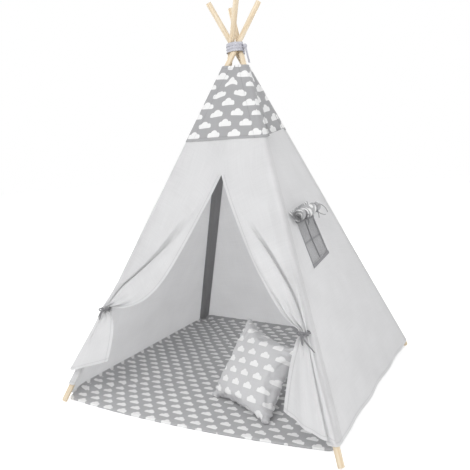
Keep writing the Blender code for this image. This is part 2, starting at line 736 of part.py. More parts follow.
def tape_point(turn, low, pitch):
    """The middle of the wound tape after so many turns, up from its lowest one."""
    z = low + pitch * turn
    edges = (z - TAPE_WIDTH / 2, z + TAPE_WIDTH / 2)
    knots = POLE_OFFSET + POLE_RADIUS + FIT_GAP + CORD_KNOT_LENGTH
    reach = max(knots, *(poles_reach(edge) for edge in edges))
    radius = reach + 2 * FIT_GAP + TAPE_THICKNESS / 2
    angle = math.tau * turn + TAIL_TURN
    return Vector((radius * math.cos(angle), radius * math.sin(angle), z))


def build_crown_tie(tape):
    """The tape wound round the crossing, as one unbroken length, and its knotted end."""
    pitch = TAPE_WIDTH + TAPE_TURN_GAP
    low = CROSSING_HEIGHT - pitch * TAPE_TURNS / 2
    count = TAPE_TURNS * TAPE_STEPS
    path = [tape_point(k / TAPE_STEPS, low, pitch) for k in range(count + 1)]
    upright = [Vector((0, 0, 1))] * len(path)
    bm = strip(path, upright, TAPE_WIDTH, TAPE_THICKNESS)
    points = [v.co.copy() for v in bm.verts]
    per_turn = 4 * TAPE_STEPS
    gaps = [
        (points[a] - points[b]).length
        for a in range(len(points))
        for b in range(a + per_turn // 2, min(a + 3 * per_turn // 2, len(points)))
    ]
    print(f"wound tape: least gap to itself {min(gaps) * 1000:.2f} mm")
    add_object("crown_tie", bm, tape, origin=Vector((0, 0, CROSSING_HEIGHT)))

    out = Vector((math.cos(TAIL_TURN), math.sin(TAIL_TURN), 0))
    along = Vector((-out.y, out.x, 0))
    near = TAIL_KNOT_RADIUS + TAPE_WIDTH / 2
    facing = [p for p in path[::TAPE_STEPS] if abs(p.z - CROSSING_HEIGHT) < near]
    face = max(p.xy.length for p in facing) + TAPE_THICKNESS / 2 + FIT_GAP
    radii = (TAIL_KNOT_RADIUS,) * 3
    top = Vector((0, 0, CROSSING_HEIGHT)) + out * (face + TAIL_KNOT_RADIUS)
    knot = add_object("crown_tie_tail", ball(top, radii), tape)
    hang = out * TAIL_OUT + along * TAIL_ASIDE - Vector((0, 0, TAIL_LENGTH))
    path = [top + hang * share for share in (0, 0.25, 0.5, 0.75, 1)]
    tail = strip(path, [along] * len(path), TAIL_WIDTH, TAPE_THICKNESS)
    combine(knot, add_object("crown_tail_strip", tail, tape), "UNION")


def mat_outline():
    """The mat seen from above, counterclockwise. Its front edge bulges and runs askew."""
    inset = MAT_CORNER_RADIUS
    left = MAT_SHIFT - MAT_HALF_X + inset
    right = MAT_SHIFT + MAT_HALF_X - inset
    front = -MAT_FRONT + inset
    back = MAT_BACK - inset
    centres = (
        (left, front - MAT_FRONT_SKEW, math.pi),
        (right, front + MAT_FRONT_SKEW, 1.5 * math.pi),
        (right, back, 0),
        (left, back, 0.5 * math.pi),
    )
    arc, run = 6, 12
    points = []
    for n, (x, y, start) in enumerate(centres):
        for k in range(arc + 1):
            turn = start + 0.5 * math.pi * k / arc
            points.append((x + inset * math.cos(turn), y + inset * math.sin(turn)))
        if n == 0:
            for k in range(1, run):
                share = 2 * k / run - 1
                bulge = MAT_FRONT_BULGE * (1 - share * share)
                y = MAT_FRONT_SKEW * share - MAT_FRONT - bulge
                points.append((mix(left, right, k / run), y))
    return points


def build_mat(printed):
    outline = mat_outline()
    middle = Vector((MAT_SHIFT, (MAT_BACK - MAT_FRONT) / 2, 0))
    rings = []
    profile = (
        (0, MAT_EDGE),
        (MAT_EDGE, 0),
        (MAT_THICKNESS - MAT_EDGE, 0),
        (MAT_THICKNESS, MAT_EDGE),
    )
    for z, inset in profile:
        ring = []
        for x, y in outline:
            p = Vector((x, y, 0))
            ring.append(p - (p - middle).normalized() * inset + Vector((0, 0, z)))
        rings.append(ring)
    add_object("floor_mat", loft(rings), printed)


def cushion_point(u, w, face):
    """A point of the cushion lying flat. u and w run from -1 to 1 between the corners."""
    half = CUSHION_SIZE / 2
    x = half * u * (1 - CUSHION_DRAW_IN * (1 - w * w) * abs(u))
    y = half * w * (1 - CUSHION_DRAW_IN * (1 - u * u) * abs(w))
    crown = max((1 - u * u) * (1 - w * w), 0.0) ** CUSHION_CROWN
    return Vector((x, y, face * CUSHION_THICKNESS / 2 * crown))


def build_cushion(printed):
    """A square cushion that leans back, flattened where it rests on the mat."""
    n = CUSHION_STEPS
    # Cells are closer together near the seam, where the cushion curves most.
    marks = [math.sin(math.pi / 2 * (2 * k / n - 1)) for k in range(n + 1)]
    bm = bmesh.new()
    for face in (1, -1):
        grid = [[bm.verts.new(cushion_point(u, w, face)) for u in marks] for w in marks]
        for a in range(n):
            for b in range(n):
                bm.faces.new((grid[a][b], grid[a][b + 1], grid[a + 1][b + 1], grid[a + 1][b]))
    bmesh.ops.remove_doubles(bm, verts=bm.verts, dist=1e-6)
    # Its own Y stands up and its own Z faces the doorway, before it leans and turns.
    stand = Matrix.Rotation(math.pi / 2, 4, "X")
    lean = Matrix.Rotation(-CUSHION_LEAN, 4, "X")
    turn = Matrix.Rotation(CUSHION_TURN, 4, "Z")
    lift = Matrix.Translation((0, CUSHION_SIZE / 2, 0))
    bmesh.ops.transform(bm, matrix=turn @ lean @ stand @ lift, verts=bm.verts)
    low = min(v.co.z for v in bm.verts)
    rest = MAT_THICKNESS + FIT_GAP
    for v in bm.verts:
        v.co.z = max(v.co.z - low + rest - CUSHION_SINK, rest)
    bmesh.ops.translate(bm, verts=bm.verts, vec=Vector((CUSHION_X, CUSHION_Y, 0)))
    bmesh.ops.triangulate(bm, faces=bm.faces)
    add_object("cushion", bm, printed, origin=Vector((CUSHION_X, CUSHION_Y, MAT_THICKNESS)))


def build():
    for obj in list(bpy.data.objects):
        bpy.data.objects.remove(obj, do_unlink=True)
    wood = make_material("pine", (0.78, 0.66, 0.47), 0.6)
    metal = make_material("zinc", (0.6, 0.61, 0.62), 0.35, 1.0)
    cotton = make_material("light_grey_cotton", (0.72, 0.72, 0.73), 0.9)
    printed = make_material("grey_cloud_print", (0.47, 0.47, 0.48), 0.9)
    pocket = make_material("dark_grey_cotton", (0.25, 0.25, 0.26), 0.9)
    ribbon = make_material("grey_tape", (0.5, 0.5, 0.53), 0.85)
    sheer = make_material("sheer_grey", (0.35, 0.35, 0.36), 0.8)

    pole_pivots = []
    for i, (name, _, back) in enumerate(CORNERS):
        outward, across = pole_directions(i)
        along = Vector((0, 0, math.cos(LEAN))) - outward * math.sin(LEAN)
        side = across.cross(along)
        rotation = Matrix((side, across, along)).transposed()
        pivot = add_empty(f"pole_pivot_{name}", pole_centre(i, CROSSING_HEIGHT), rotation)
        build_pole(i, pivot, wood, metal)
        build_sleeve(i, pocket if back > 0 else cotton, pivot)  # darker at the back
        pole_pivots.append(pivot)
    build_crown_cord(ribbon)
    build_crown_tie(ribbon)
    build_walls(cotton)
    build_band(printed)
    build_front(cotton, ribbon, pole_pivots)
    build_window(sheer, ribbon, printed, ribbon)
    build_mat(printed)
    build_cushion(printed)


build()
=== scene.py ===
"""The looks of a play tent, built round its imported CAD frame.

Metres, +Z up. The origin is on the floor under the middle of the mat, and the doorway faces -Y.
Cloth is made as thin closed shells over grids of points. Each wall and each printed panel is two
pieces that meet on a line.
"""

import math

import bmesh
import bpy
import numpy as np
from mathutils import Matrix, Vector, noise


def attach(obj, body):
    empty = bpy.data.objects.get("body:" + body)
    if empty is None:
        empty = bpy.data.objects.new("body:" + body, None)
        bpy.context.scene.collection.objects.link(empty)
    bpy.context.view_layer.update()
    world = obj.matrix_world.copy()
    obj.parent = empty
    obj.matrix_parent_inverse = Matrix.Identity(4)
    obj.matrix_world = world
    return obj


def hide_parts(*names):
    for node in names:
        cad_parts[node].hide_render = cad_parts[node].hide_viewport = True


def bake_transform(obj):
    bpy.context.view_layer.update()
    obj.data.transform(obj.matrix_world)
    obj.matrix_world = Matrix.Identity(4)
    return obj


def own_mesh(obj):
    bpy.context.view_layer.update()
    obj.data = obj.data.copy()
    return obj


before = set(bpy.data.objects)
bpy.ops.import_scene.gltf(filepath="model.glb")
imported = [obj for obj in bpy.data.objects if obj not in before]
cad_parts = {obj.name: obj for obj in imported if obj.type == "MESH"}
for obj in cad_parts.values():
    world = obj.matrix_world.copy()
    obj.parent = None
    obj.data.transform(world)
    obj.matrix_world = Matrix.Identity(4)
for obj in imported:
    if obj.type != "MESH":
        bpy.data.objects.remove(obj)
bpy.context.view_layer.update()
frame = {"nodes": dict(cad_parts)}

# The frame's sizes, as the CAD has them
POLE_RADIUS = 0.011
POLE_PASSING_GAP = 0.002
POLE_BELOW = 1.6  # from a foot to the crossing
FOOT_HALF_X = 0.577
FOOT_HALF_Y = 0.549
TOUCH_GAP = 0.0003
FERRULE_WALL = 0.0008
SLEEVE_WALL = 0.0018
SLEEVE_TO_WALL = 0.0005
CAD_CLOTH = 0.0022
SLEEVE_TOP = 1.12
HEM_HEIGHTS = (0.075, 0.065, 0.03, 0.01)  # at the corners; the last is 20 mm under its solid
BAND_BOTTOM = 1.028
BAND_TOP = 1.315
MAT_THICKNESS = 0.01

# Doorway
SLIT_TOP = 0.888
SLIT_SHIFT = 0.016
TIE_HEIGHT = 0.378
EDGE_SWAG = (2.2, 1.3)
EDGE_HOLD = (3.6, 1.6)
CORNER_SWAG = 1.2
STAND_OUT_START = 0.35
GATHER_START = 0.7
NECK_HALF_WIDTH = 0.012
NECK_FOLD_DEPTH = 0.007
NECK_HALF_HEIGHT = 0.010
NECK_FROM_CORNER = 0.022
NECK_OUT = 0.0145
SKIRT_SPREADS = (0.52, 0.75)
SKIRT_WIDTHS = (0.165, 0.158)
SKIRT_HEM_AT_CORNER = (0.14, 0.075)
SKIRT_HEM_AT_EDGE = (0.198, 0.139)
SKIRT_FLARES = (0.03, 0.01)
SKIRT_FROM_CORNER = 0.007

# Window and blind
WINDOW_WIDTH = 0.19
WINDOW_BOTTOM = 0.545
WINDOW_TOP = 0.7
WINDOW_SHIFT = -0.073
BLIND_LENGTH = 0.235
BLIND_ROLL_RADIUS = 0.024
BLIND_SEAM_HEIGHT = 0.757
BLIND_DROP = 0.032
BLIND_TIE_SPACING = 0.136

# Mat and cushion
MAT_FRONT_BULGE = 0.034
CUSHION_SIZE = 0.31
CUSHION_THICKNESS = 0.115
CUSHION_DRAW_IN = 0.07
CUSHION_CROWN = 0.42
CUSHION_LEAN = math.radians(35)
CUSHION_TURN = math.radians(-22.5)
CUSHION_X = 0.142
CUSHION_Y = -0.356
CUSHION_SINK = 0.006

# The cloth as it is seen
CLOTH = 0.0011
HEM_WIDTH = 0.014
HEM_EXTRA = 0.0009
HEM_STEP = 0.002  # from a hem's edge to the row past it
HEM_STITCH = 0.0118
SIDE_STITCH = 0.035  # from the middle of the cloth on a pole, so just beside the pocket
WALL_SAG = 0.007
LOOSE_RIBBON = 0.0008  # the thickness of the ties' loops and ends

# Worked out from the values above
LEAN = math.asin(math.hypot(FOOT_HALF_X, FOOT_HALF_Y) / POLE_BELOW)
CROSSING_HEIGHT = POLE_BELOW * math.cos(LEAN) + POLE_RADIUS * math.sin(LEAN)
POLE_OFFSET = (
    (2 * POLE_RADIUS + POLE_PASSING_GAP) * math.hypot(1, math.cos(LEAN)) / (2 * math.cos(LEAN))
)
SLEEVE_BORE = POLE_RADIUS + 2 * TOUCH_GAP + FERRULE_WALL
SLEEVE_REACH = SLEEVE_BORE * math.sqrt((1 / math.cos(LEAN) ** 2 + 1) / 2) + SLEEVE_WALL
WALL_LEAN = math.atan(FOOT_HALF_X / CROSSING_HEIGHT)
CLOTH_LEVEL = CAD_CLOTH / math.cos(WALL_LEAN)
COVER_MIDDLE = SLEEVE_REACH + SLEEVE_TO_WALL + CLOTH_LEVEL / 2
COVER_OUTSIDE = COVER_MIDDLE + CLOTH_LEVEL / 2

CORNERS = (
    ("front_left", -1, -1),
    ("front_right", 1, -1),
    ("back_right", 1, 1),
    ("back_left", -1, 1),
)
SIDES = ("front", "right", "back", "left")
FRONT, RIGHT, BACK, LEFT = range(4)
HANDS = ("left", "right")


def mix(a, b, share):
    return a + (b - a) * share


def smooth(x):
    x = min(max(x, 0.0), 1.0)
    return x * x * (3 - 2 * x)


def hump(x, centre, width):
    return math.exp(-(((x - centre) / width) ** 2))


def spread(start, end, count):
    return [mix(start, end, k / count) for k in range(count + 1)]


def pole_directions(i):
    """The level directions from the middle towards foot i, and square to that."""
    _, side_x, side_y = CORNERS[i % 4]
    outward = Vector((side_x * FOOT_HALF_X, side_y * FOOT_HALF_Y, 0)).normalized()
    return outward, Vector((-outward.y, outward.x, 0))


def pole_centre(i, z):
    outward, across = pole_directions(i)
    reach = (CROSSING_HEIGHT - z) * math.tan(LEAN)
    return outward * reach + across * POLE_OFFSET + Vector((0, 0, z))


def side_normal(i, z):
    """The level direction that side i faces at height z."""
    run = pole_centre(i + 1, z) - pole_centre(i, z)
    return Vector((run.y, -run.x, 0)).normalized()


def leaning_normal(i, z):
    """The direction square to side i's cloth."""
    n = side_normal(i, z)
    return (n * math.cos(WALL_LEAN) + Vector((0, 0, math.sin(WALL_LEAN)))).normalized()


def round_corner(i, z, share, offset):
    """A point round pole i: share 0 faces side i - 1, 0.5 the corner's middle, 1 side i."""
    before, after = side_normal(i - 1, z), side_normal(i, z)
    return pole_centre(i, z) + before.slerp(after, share) * offset


def side_ends(i, heights, offset):
    """Where side i's flat cloth begins and ends, beside its two poles."""
    return round_corner(i, heights[0], 1, offset), round_corner(i + 1, heights[1], 0, offset)


def side_point(i, heights, place, offset):
    """A point on side i. place is 0 to 1 between its poles, and runs on round them by 1."""
    if place < 0:
        return round_corner(i, heights[0], 1 + place / 2, offset)
    if place > 1:
        return round_corner(i + 1, heights[1], (place - 1) / 2, offset)
    start, end = side_ends(i, heights, offset)
    return start.lerp(end, place)


# Meshes


def link(name, mesh, material=None):
    obj = bpy.data.objects.new(name, mesh)
    bpy.context.scene.collection.objects.link(obj)
    if material is not None:
        mesh.materials.append(material)
    return obj


def mesh_of(bm, name):
    """The mesh that bm holds, smooth all over."""
    mesh = bpy.data.meshes.new(name)
    bm.to_mesh(mesh)
    bm.free()
    mesh.shade_smooth()
    return mesh


def grid_normals(points, wrap=False):
    """The surface's direction at each point of a grid, outwards for rows that run upwards."""
    if wrap:
        along = np.roll(points, -1, axis=1) - np.roll(points, 1, axis=1)
    else:
        along = np.gradient(points, axis=1)
    normals = np.cross(along, np.gradient(points, axis=0))
    size = np.linalg.norm(normals, axis=2, keepdims=True)
    return normals / np.maximum(size, 1e-12)


def metres_along(points):
    """How far along its row each point of a grid lies."""
    steps = np.linalg.norm(np.diff(points, axis=1), axis=2)
    return np.concatenate([np.zeros((len(points), 1)), np.cumsum(steps, axis=1)], axis=1)


def metres_up(points):
    """How far up its column each point of a grid lies."""
    rises = np.linalg.norm(np.diff(points, axis=0), axis=2)
    return np.concatenate([np.zeros((1, points.shape[1])), np.cumsum(rises, axis=0)])


def flat_places(points):
    """Where each point of a grid lies on the flat cloth, in metres along and up it."""
    along = metres_along(points)
    return np.stack([along - along[:, -1:] / 2, metres_up(points)], axis=2)


def shell_faces(rows, columns, wrap, open_cells):
    """The faces of a shell's two sides, and those that close its edges."""
    far = rows * columns
    last = columns if wrap else columns - 1
    cells = {(r, c) for r in range(rows - 1) for c in range(last)} - set(open_cells)
    faces, rims = [], []
    for r, c in sorted(cells):
        n = (c + 1) % columns
        a, b, d, e = r * columns + c, r * columns + n, (r + 1) * columns + n, (r + 1) * columns + c
        faces.append((a, b, d, e))
        faces.append((e + far, d + far, b + far, a + far))
        right, left = ((c + 1) % columns, (c - 1) % columns) if wrap else (c + 1, c - 1)
        around = (((r - 1, c), a, b), ((r, right), b, d), ((r + 1, c), d, e), ((r, left), e, a))
        rims += [(q, p, p + far, q + far) for cell, p, q in around if cell not in cells]
    return faces, rims


def shell(
    name,
    points,
    material,
    thickness=CLOTH,
    places=None,
    normals=None,
    wrap=False,
    open_cells=(),
    seams=None,
):
    """A thin closed body over a grid of points, with its flat places as a UV map.

    seams gives each point's distances to its hem's stitches and to its upright ones.
    """
    points = np.asarray(points, float)
    rows, columns = points.shape[:2]
    normals = grid_normals(points, wrap) if normals is None else normals
    places = flat_places(points) if places is None else places
    half = np.broadcast_to(np.asarray(thickness, float), (rows, columns))[..., None] / 2
    corners = np.concatenate([points + normals * half, points - normals * half]).reshape(-1, 3)
    faces, rims = shell_faces(rows, columns, wrap, open_cells)
    mesh = bpy.data.meshes.new(name)
    mesh.from_pydata(corners.tolist(), [], faces + rims)
    mesh.shade_smooth()
    loops = np.zeros(len(mesh.loops), int)
    mesh.loops.foreach_get("vertex_index", loops)
    flat = np.concatenate([places.reshape(-1, 2)] * 2)[loops]
    mesh.uv_layers.new(name="Cloth").data.foreach_set("uv", flat.ravel())
    if seams is not None:
        near = np.concatenate([1 + np.asarray(seams, float).reshape(-1, 2)] * 2)[loops]
        mesh.uv_layers.new(name="Seams").data.foreach_set("uv", near.ravel())
    both = np.concatenate([normals.reshape(-1, 3), -normals.reshape(-1, 3)])[loops]
    both[4 * len(faces):] = 0
    mesh.normals_split_custom_set(both.tolist())
    remove_loose(mesh)
    return link(name, mesh, material)


def remove_loose(mesh):
    """Takes out the points that no face uses, such as those in the middle of an opening."""
    used = {v for p in mesh.polygons for v in p.vertices}
    if len(used) == len(mesh.vertices):
        return
    bm = bmesh.new()
    bm.from_mesh(mesh)
    bmesh.ops.delete(bm, geom=[v for v in bm.verts if not v.link_faces], context="VERTS")
    bm.to_mesh(mesh)
    bm.free()


def seam_distances(points, both_hems=False):
    """Distances to the hem's stitches and to those along the sides, for each point of a grid."""
    up, along = metres_up(points), metres_along(points)
    hem = np.minimum(up, up[-1:] - up) if both_hems else up
    sides = np.minimum(along, along[:, -1:] - along)
    return np.stack([hem - HEM_STITCH, sides - SIDE_STITCH], axis=2)


def carry(piece, body, node):
    """The body that a new piece rides on, and the node it replaces."""
    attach(piece, body)
    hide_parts(node)


def bend(piece):
    """Bakes the piece's placement into its mesh."""
    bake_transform(piece)


def smooth_path(points, steps):
    """A smooth curve through the points, with so many steps between two of them."""
    ends = [points[0] * 2 - points[1], *points, points[-1] * 2 - points[-2]]
    path = []
    for k in range(1, len(ends) - 2):
        p0, p1, p2, p3 = ends[k - 1 : k + 3]
        for n in range(steps):
            t = n / steps
            path.append(
                0.5
                * (
                    2 * p1
                    + (p2 - p0) * t
                    + (2 * p0 - 5 * p1 + 4 * p2 - p3) * t * t
                    + (3 * p1 - p0 - 3 * p2 + p3) * t**3
                )
            )
    return path + [points[-1]]


def ribbon_points(path, across, width, cup=0.0):
    """A ribbon's grid of points along a path. across is one direction, or one for each point."""
    if isinstance(across, Vector):
        across = [across] * len(path)
    shares = (-0.5, -0.25, 0, 0.25, 0.5)
    rows = []
    for k, p in enumerate(path):
        ahead = path[min(k + 1, len(path) - 1)] - path[max(k - 1, 0)]
        square = ahead.cross(across[k]).normalized()
        rows.append([p + across[k] * (width * s) + square * (cup * (4 * s * s)) for s in shares])
    return rows


def ribbon(name, path, across, width, thickness, material, cup=0.0):
    return shell(name, ribbon_points(path, across, width, cup), material, thickness)


def ball(name, centre, radii, material, ridges):
    """A knot: an egg with shallow ridges where the ribbon is wound over itself."""
    bm = bmesh.new()
    bmesh.ops.create_uvsphere(bm, u_segments=20, v_segments=12, radius=1)
    for v in bm.verts:
        swell = 1 + ridges * math.sin(3 * v.co.x + 5 * v.co.z) + ridges * math.cos(4 * v.co.y)
        v.co = centre + Vector(v.co[k] * radii[k] * swell for k in range(3))
    mesh = mesh_of(bm, name)
    uv = mesh.uv_layers.new(name="Cloth")
    for loop in mesh.loops:
        p = mesh.vertices[loop.vertex_index].co
        uv.data[loop.index].uv = (p.x + p.y, p.z)
    return link(name, mesh, material)


# Materials


class Nodes:
    """A short way to add nodes to a tree."""

    def __init__(self, tree):
        self.tree = tree

    def add(self, kind, **settings):
        node = self.tree.nodes.new(kind)
        for name, value in settings.items():
            setattr(node, name, value)
        return node

    def put(self, socket, value):
        if isinstance(value, bpy.types.NodeSocket):
            self.tree.links.new(value, socket)
        else:
            socket.default_value = value

    def math(self, operation, *values):
        node = self.add("ShaderNodeMath", operation=operation)
        for socket, value in zip(node.inputs, values):
            self.put(socket, value)
        return node.outputs[0]

    def vector(self, operation, *values):
        node = self.add("ShaderNodeVectorMath", operation=operation)
        for socket, value in zip(node.inputs, values):
            self.put(socket, value)
        return node.outputs["Value" if operation in ("DISTANCE", "LENGTH") else "Vector"]

    def join(self, x=0.0, y=0.0, z=0.0):
        node = self.add("ShaderNodeCombineXYZ")
        for socket, value in zip(node.inputs, (x, y, z)):
            self.put(socket, value)
        return node.outputs[0]

    def split(self, vector):
        node = self.add("ShaderNodeSeparateXYZ")
        self.put(node.inputs[0], vector)
        return node.outputs

    def noise(self, vector, scale=1.0, detail=2.0, roughness=0.5):
        node = self.add("ShaderNodeTexNoise")
        self.put(node.inputs["Vector"], vector)
        node.inputs["Scale"].default_value = scale
        node.inputs["Detail"].default_value = detail
        node.inputs["Roughness"].default_value = roughness
        return node.outputs[0]

    def remap(self, value, low, high, to_low=0.0, to_high=1.0, smoothly=False):
        node = self.add("ShaderNodeMapRange")
        node.interpolation_type = "SMOOTHSTEP" if smoothly else "LINEAR"
        for socket, given in zip(node.inputs, (value, low, high, to_low, to_high)):
            self.put(socket, given)
        return node.outputs[0]

    def blend(self, factor, a, b, kind="MIX"):
        node = self.add("ShaderNodeMix", data_type="RGBA", blend_type=kind)
        self.put(node.inputs["Factor"], factor)
        self.put(node.inputs["A"], a)
        self.put(node.inputs["B"], b)
        return node.outputs["Result"]

    def bump(self, height, distance, strength=1.0):
        node = self.add("ShaderNodeBump")
        self.put(node.inputs["Height"], height)
        node.inputs["Distance"].default_value = distance
        node.inputs["Strength"].default_value = strength
        return node.outputs[0]


def new_material(name):
    material = bpy.data.materials.new(name)
    material.use_nodes = True
    nodes = Nodes(material.node_tree)
    shader = material.node_tree.nodes["Principled BSDF"]
    return material, nodes, shader


def flat_cloth_place(n):
    """The place on the flat cloth, in metres."""
    return n.add("ShaderNodeUVMap", uv_map="Cloth").outputs[0]


CLOUD_BUMPS = ((-0.18, 0.054, 0.112), (0.02, 0.12, 0.16), (0.19, 0.048, 0.118), (0.0, 0.0, 0.085))
CLOUD_HALF_WIDTH = 0.3
CLOUD_FOOT = 0.036
CLOUD_ROUNDING = 0.066


def cloud_mask(n, place, spacing, row_height):
    """1 on white flat-bottomed clouds in staggered rows, 0 on the ground between them."""
    x, y, _ = n.split(place)
    row = n.math("DIVIDE", y, row_height)
    number = n.math("FLOOR", row)
    odd = n.math("MODULO", n.math("ABSOLUTE", number), 2.0)
    column = n.math("ADD", n.math("DIVIDE", x, spacing), n.math("MULTIPLY", odd, 0.5))
    u = n.math("SUBTRACT", n.math("FRACT", column), 0.5)
    facing = n.math("SUBTRACT", 1.0, n.math("MULTIPLY", odd, 2.0))
    u = n.math("MULTIPLY", u, facing)
    v = n.math("MULTIPLY", n.math("SUBTRACT", n.math("FRACT", row), 0.32), row_height / spacing)
    here = n.join(u, v)
    field = None
    for centre_x, centre_y, radius in CLOUD_BUMPS:
        away = n.vector("DISTANCE", here, (centre_x, centre_y + CLOUD_FOOT, 0.0))
        away = n.math("SUBTRACT", away, radius)
        field = away if field is None else n.math("MINIMUM", field, away)
    side = n.math("SUBTRACT", n.math("ABSOLUTE", u), CLOUD_HALF_WIDTH - CLOUD_ROUNDING)
    side = n.math("MAXIMUM", side, 0.0)
    base = n.vector("LENGTH", n.join(side, n.math("SUBTRACT", v, CLOUD_ROUNDING - CLOUD_FOOT)))
    field = n.math("MINIMUM", field, n.math("SUBTRACT", base, CLOUD_ROUNDING))
    field = n.math("MAXIMUM", field, n.math("SUBTRACT", -CLOUD_FOOT, v))
    return n.remap(field, -0.008, 0.008, 1.0, 0.0, smoothly=True)


def weave(n, place, thread):
    """The height of a plain weave, from 0 to 1, with threads this far apart."""
    x, y, _ = n.split(place)
    turns = math.tau / (2 * thread)
    warp = n.math("SINE", n.math("MULTIPLY", x, turns))
    weft = n.math("SINE", n.math("MULTIPLY", y, turns))
    over = n.math("MULTIPLY", warp, weft)
    return n.remap(over, -1.0, 1.0)


def slubs(n, place):
    """Uneven yarn: faint streaks along both directions of the weave, around 0.5."""
    level = n.noise(n.vector("MULTIPLY", place, (7.0, 310.0, 0.0)), detail=3.0)
    upright = n.noise(n.vector("MULTIPLY_ADD", place, (290.0, 8.0, 0.0), (0.0, 0.0, 4.0)), detail=3.0)
    return n.math("MULTIPLY", n.math("ADD", level, upright), 0.5)


STITCH_LENGTH = 0.0034
STITCH_HALF_WIDTH = 0.00045


def stitches(n, place):
    """The thread of the seams, and how far the cloth draws in beside it, both from 0 to 1."""
    x, y, _ = n.split(place)
    hem, side, _ = n.split(n.add("ShaderNodeUVMap", uv_map="Seams").outputs[0])
    threads, puckers = None, None
    for distance, along in ((hem, x), (side, y)):
        away = n.math("ABSOLUTE", n.math("SUBTRACT", distance, 1.0))
        line = n.remap(away, STITCH_HALF_WIDTH * 0.7, STITCH_HALF_WIDTH * 1.3, 1.0, 0.0, smoothly=True)
        share = n.math("FRACT", n.math("DIVIDE", along, STITCH_LENGTH))
        dash = n.remap(share, 0.68, 0.76, 1.0, 0.0)
        thread = n.math("MULTIPLY", line, dash)
        near = n.remap(away, 0.0, 0.0042, 1.0, 0.0, smoothly=True)
        wave = n.math("SINE", n.math("MULTIPLY", along, math.tau / (2 * STITCH_LENGTH)))
        draw = n.math("MULTIPLY", near, n.remap(wave, -1.0, 1.0, 0.45, 1.0))
        threads = thread if threads is None else n.math("MAXIMUM", threads, thread)
        puckers = draw if puckers is None else n.math("MAXIMUM", puckers, draw)
    return threads, puckers


def let_light_through(material, n, shader, share, colour, normal):
    """Mixes in the light that comes through the cloth from behind."""
    behind = n.add("ShaderNodeBsdfTranslucent")
    n.put(behind.inputs["Color"], colour)
    n.put(behind.inputs["Normal"], normal)
    both = n.add("ShaderNodeMixShader")
    both.inputs[0].default_value = share
    n.put(both.inputs[1], shader.outputs[0])
    n.put(both.inputs[2], behind.outputs[0])
    n.put(material.node_tree.nodes["Material Output"].inputs["Surface"], both.outputs[0])


def cloth_material(
    name, colour, through=0.3, thread=0.0009, clouds=None, streak=0.09, patchy=0.06, sheen=0.15
):
    """Woven cloth. through is how much light it lets pass, clouds is (spacing, row height, white)."""
    material, n, shader = new_material(name)
    place = flat_cloth_place(n)
    ground = (*colour, 1)
    if clouds is not None:
        spacing, row_height, white = clouds
        ground = n.blend(cloud_mask(n, place, spacing, row_height), ground, (*white, 1))
    streaks = slubs(n, place)
    spots = n.add("ShaderNodeTexCoord").outputs["Object"]
    patches = n.noise(spots, scale=7.0, detail=4.0)
    tone = n.math(
        "ADD",
        n.remap(streaks, 0.25, 0.75, 1 - streak / 2, 1 + streak / 2),
        n.remap(patches, 0.25, 0.75, -patchy / 2, patchy / 2),
    )
    thread_and_shade_mask, pucker_and_shade = stitches(n, place)
    # painted shade: the stitch thread and the drawn-in cloth beside it are darkened in the colour for the
    # shade in them; the same masks also give their real bumps
    tone = n.math("SUBTRACT", tone, n.math("MULTIPLY", thread_and_shade_mask, 0.3))
    tone = n.math("SUBTRACT", tone, n.math("MULTIPLY", pucker_and_shade, 0.05))
    colour_out = n.blend(1.0, ground, n.join(tone, tone, tone), "MULTIPLY")
    n.put(shader.inputs["Base Color"], colour_out)
    fuzz = n.noise(spots, scale=420.0, detail=2.0)
    height = n.math("ADD", weave(n, place, thread), n.math("MULTIPLY", fuzz, 0.6))
    height = n.math("ADD", height, n.math("MULTIPLY", streaks, 0.8))
    height = n.math("SUBTRACT", height, n.math("MULTIPLY", pucker_and_shade, 1.6))
    height = n.math("ADD", height, n.math("MULTIPLY", thread_and_shade_mask, 2.5))
    normal = n.bump(height, 0.0004, 0.7)
    n.put(shader.inputs["Normal"], normal)
    n.put(shader.inputs["Roughness"], n.remap(streaks, 0.2, 0.8, 0.82, 0.96))
    shader.inputs["Sheen Weight"].default_value = sheen
    shader.inputs["Sheen Roughness"].default_value = 0.5
    shader.inputs["Specular IOR Level"].default_value = 0.25
    if through > 0:
        let_light_through(material, n, shader, through, colour_out, normal)
    return material


def pine_material(i):
    """Sanded pine, its grain along pole i."""
    name = CORNERS[i][0]
    material, n, shader = new_material(f"pine_{name}")
    outward, _ = pole_directions(i)
    along = Vector((0, 0, math.cos(LEAN))) - outward * math.sin(LEAN)
    turn = along.rotation_difference(Vector((0, 0, 1))).to_euler()
    rotate = n.add("ShaderNodeVectorRotate", rotation_type="EULER_XYZ")
    n.put(rotate.inputs["Vector"], n.add("ShaderNodeTexCoord").outputs["Object"])
    rotate.inputs["Rotation"].default_value = turn
    turned = rotate.outputs[0]
    bands = n.noise(n.vector("MULTIPLY", turned, (150.0, 150.0, 5.0)), detail=4.0, roughness=0.6)
    fine = n.noise(n.vector("MULTIPLY", turned, (900.0, 900.0, 24.0)), detail=3.0)
    knots = n.noise(n.vector("MULTIPLY", turned, (40.0, 40.0, 1.0)), scale=9.0)
    pale, warm = (0.8, 0.71, 0.56, 1), (0.64, 0.5, 0.33, 1)
    colour = n.blend(n.remap(bands, 0.35, 0.68), pale, warm)
    colour = n.blend(n.remap(fine, 0.5, 0.8, 0.0, 0.35), colour, (0.47, 0.32, 0.18, 1))
    colour = n.blend(n.remap(knots, 0.68, 0.78, 0.0, 0.6), colour, (0.36, 0.22, 0.11, 1))
    n.put(shader.inputs["Base Color"], colour)
    n.put(shader.inputs["Roughness"], n.remap(fine, 0.3, 0.7, 0.5, 0.68))
    n.put(shader.inputs["Normal"], n.bump(fine, 0.0003, 0.5))
    return material


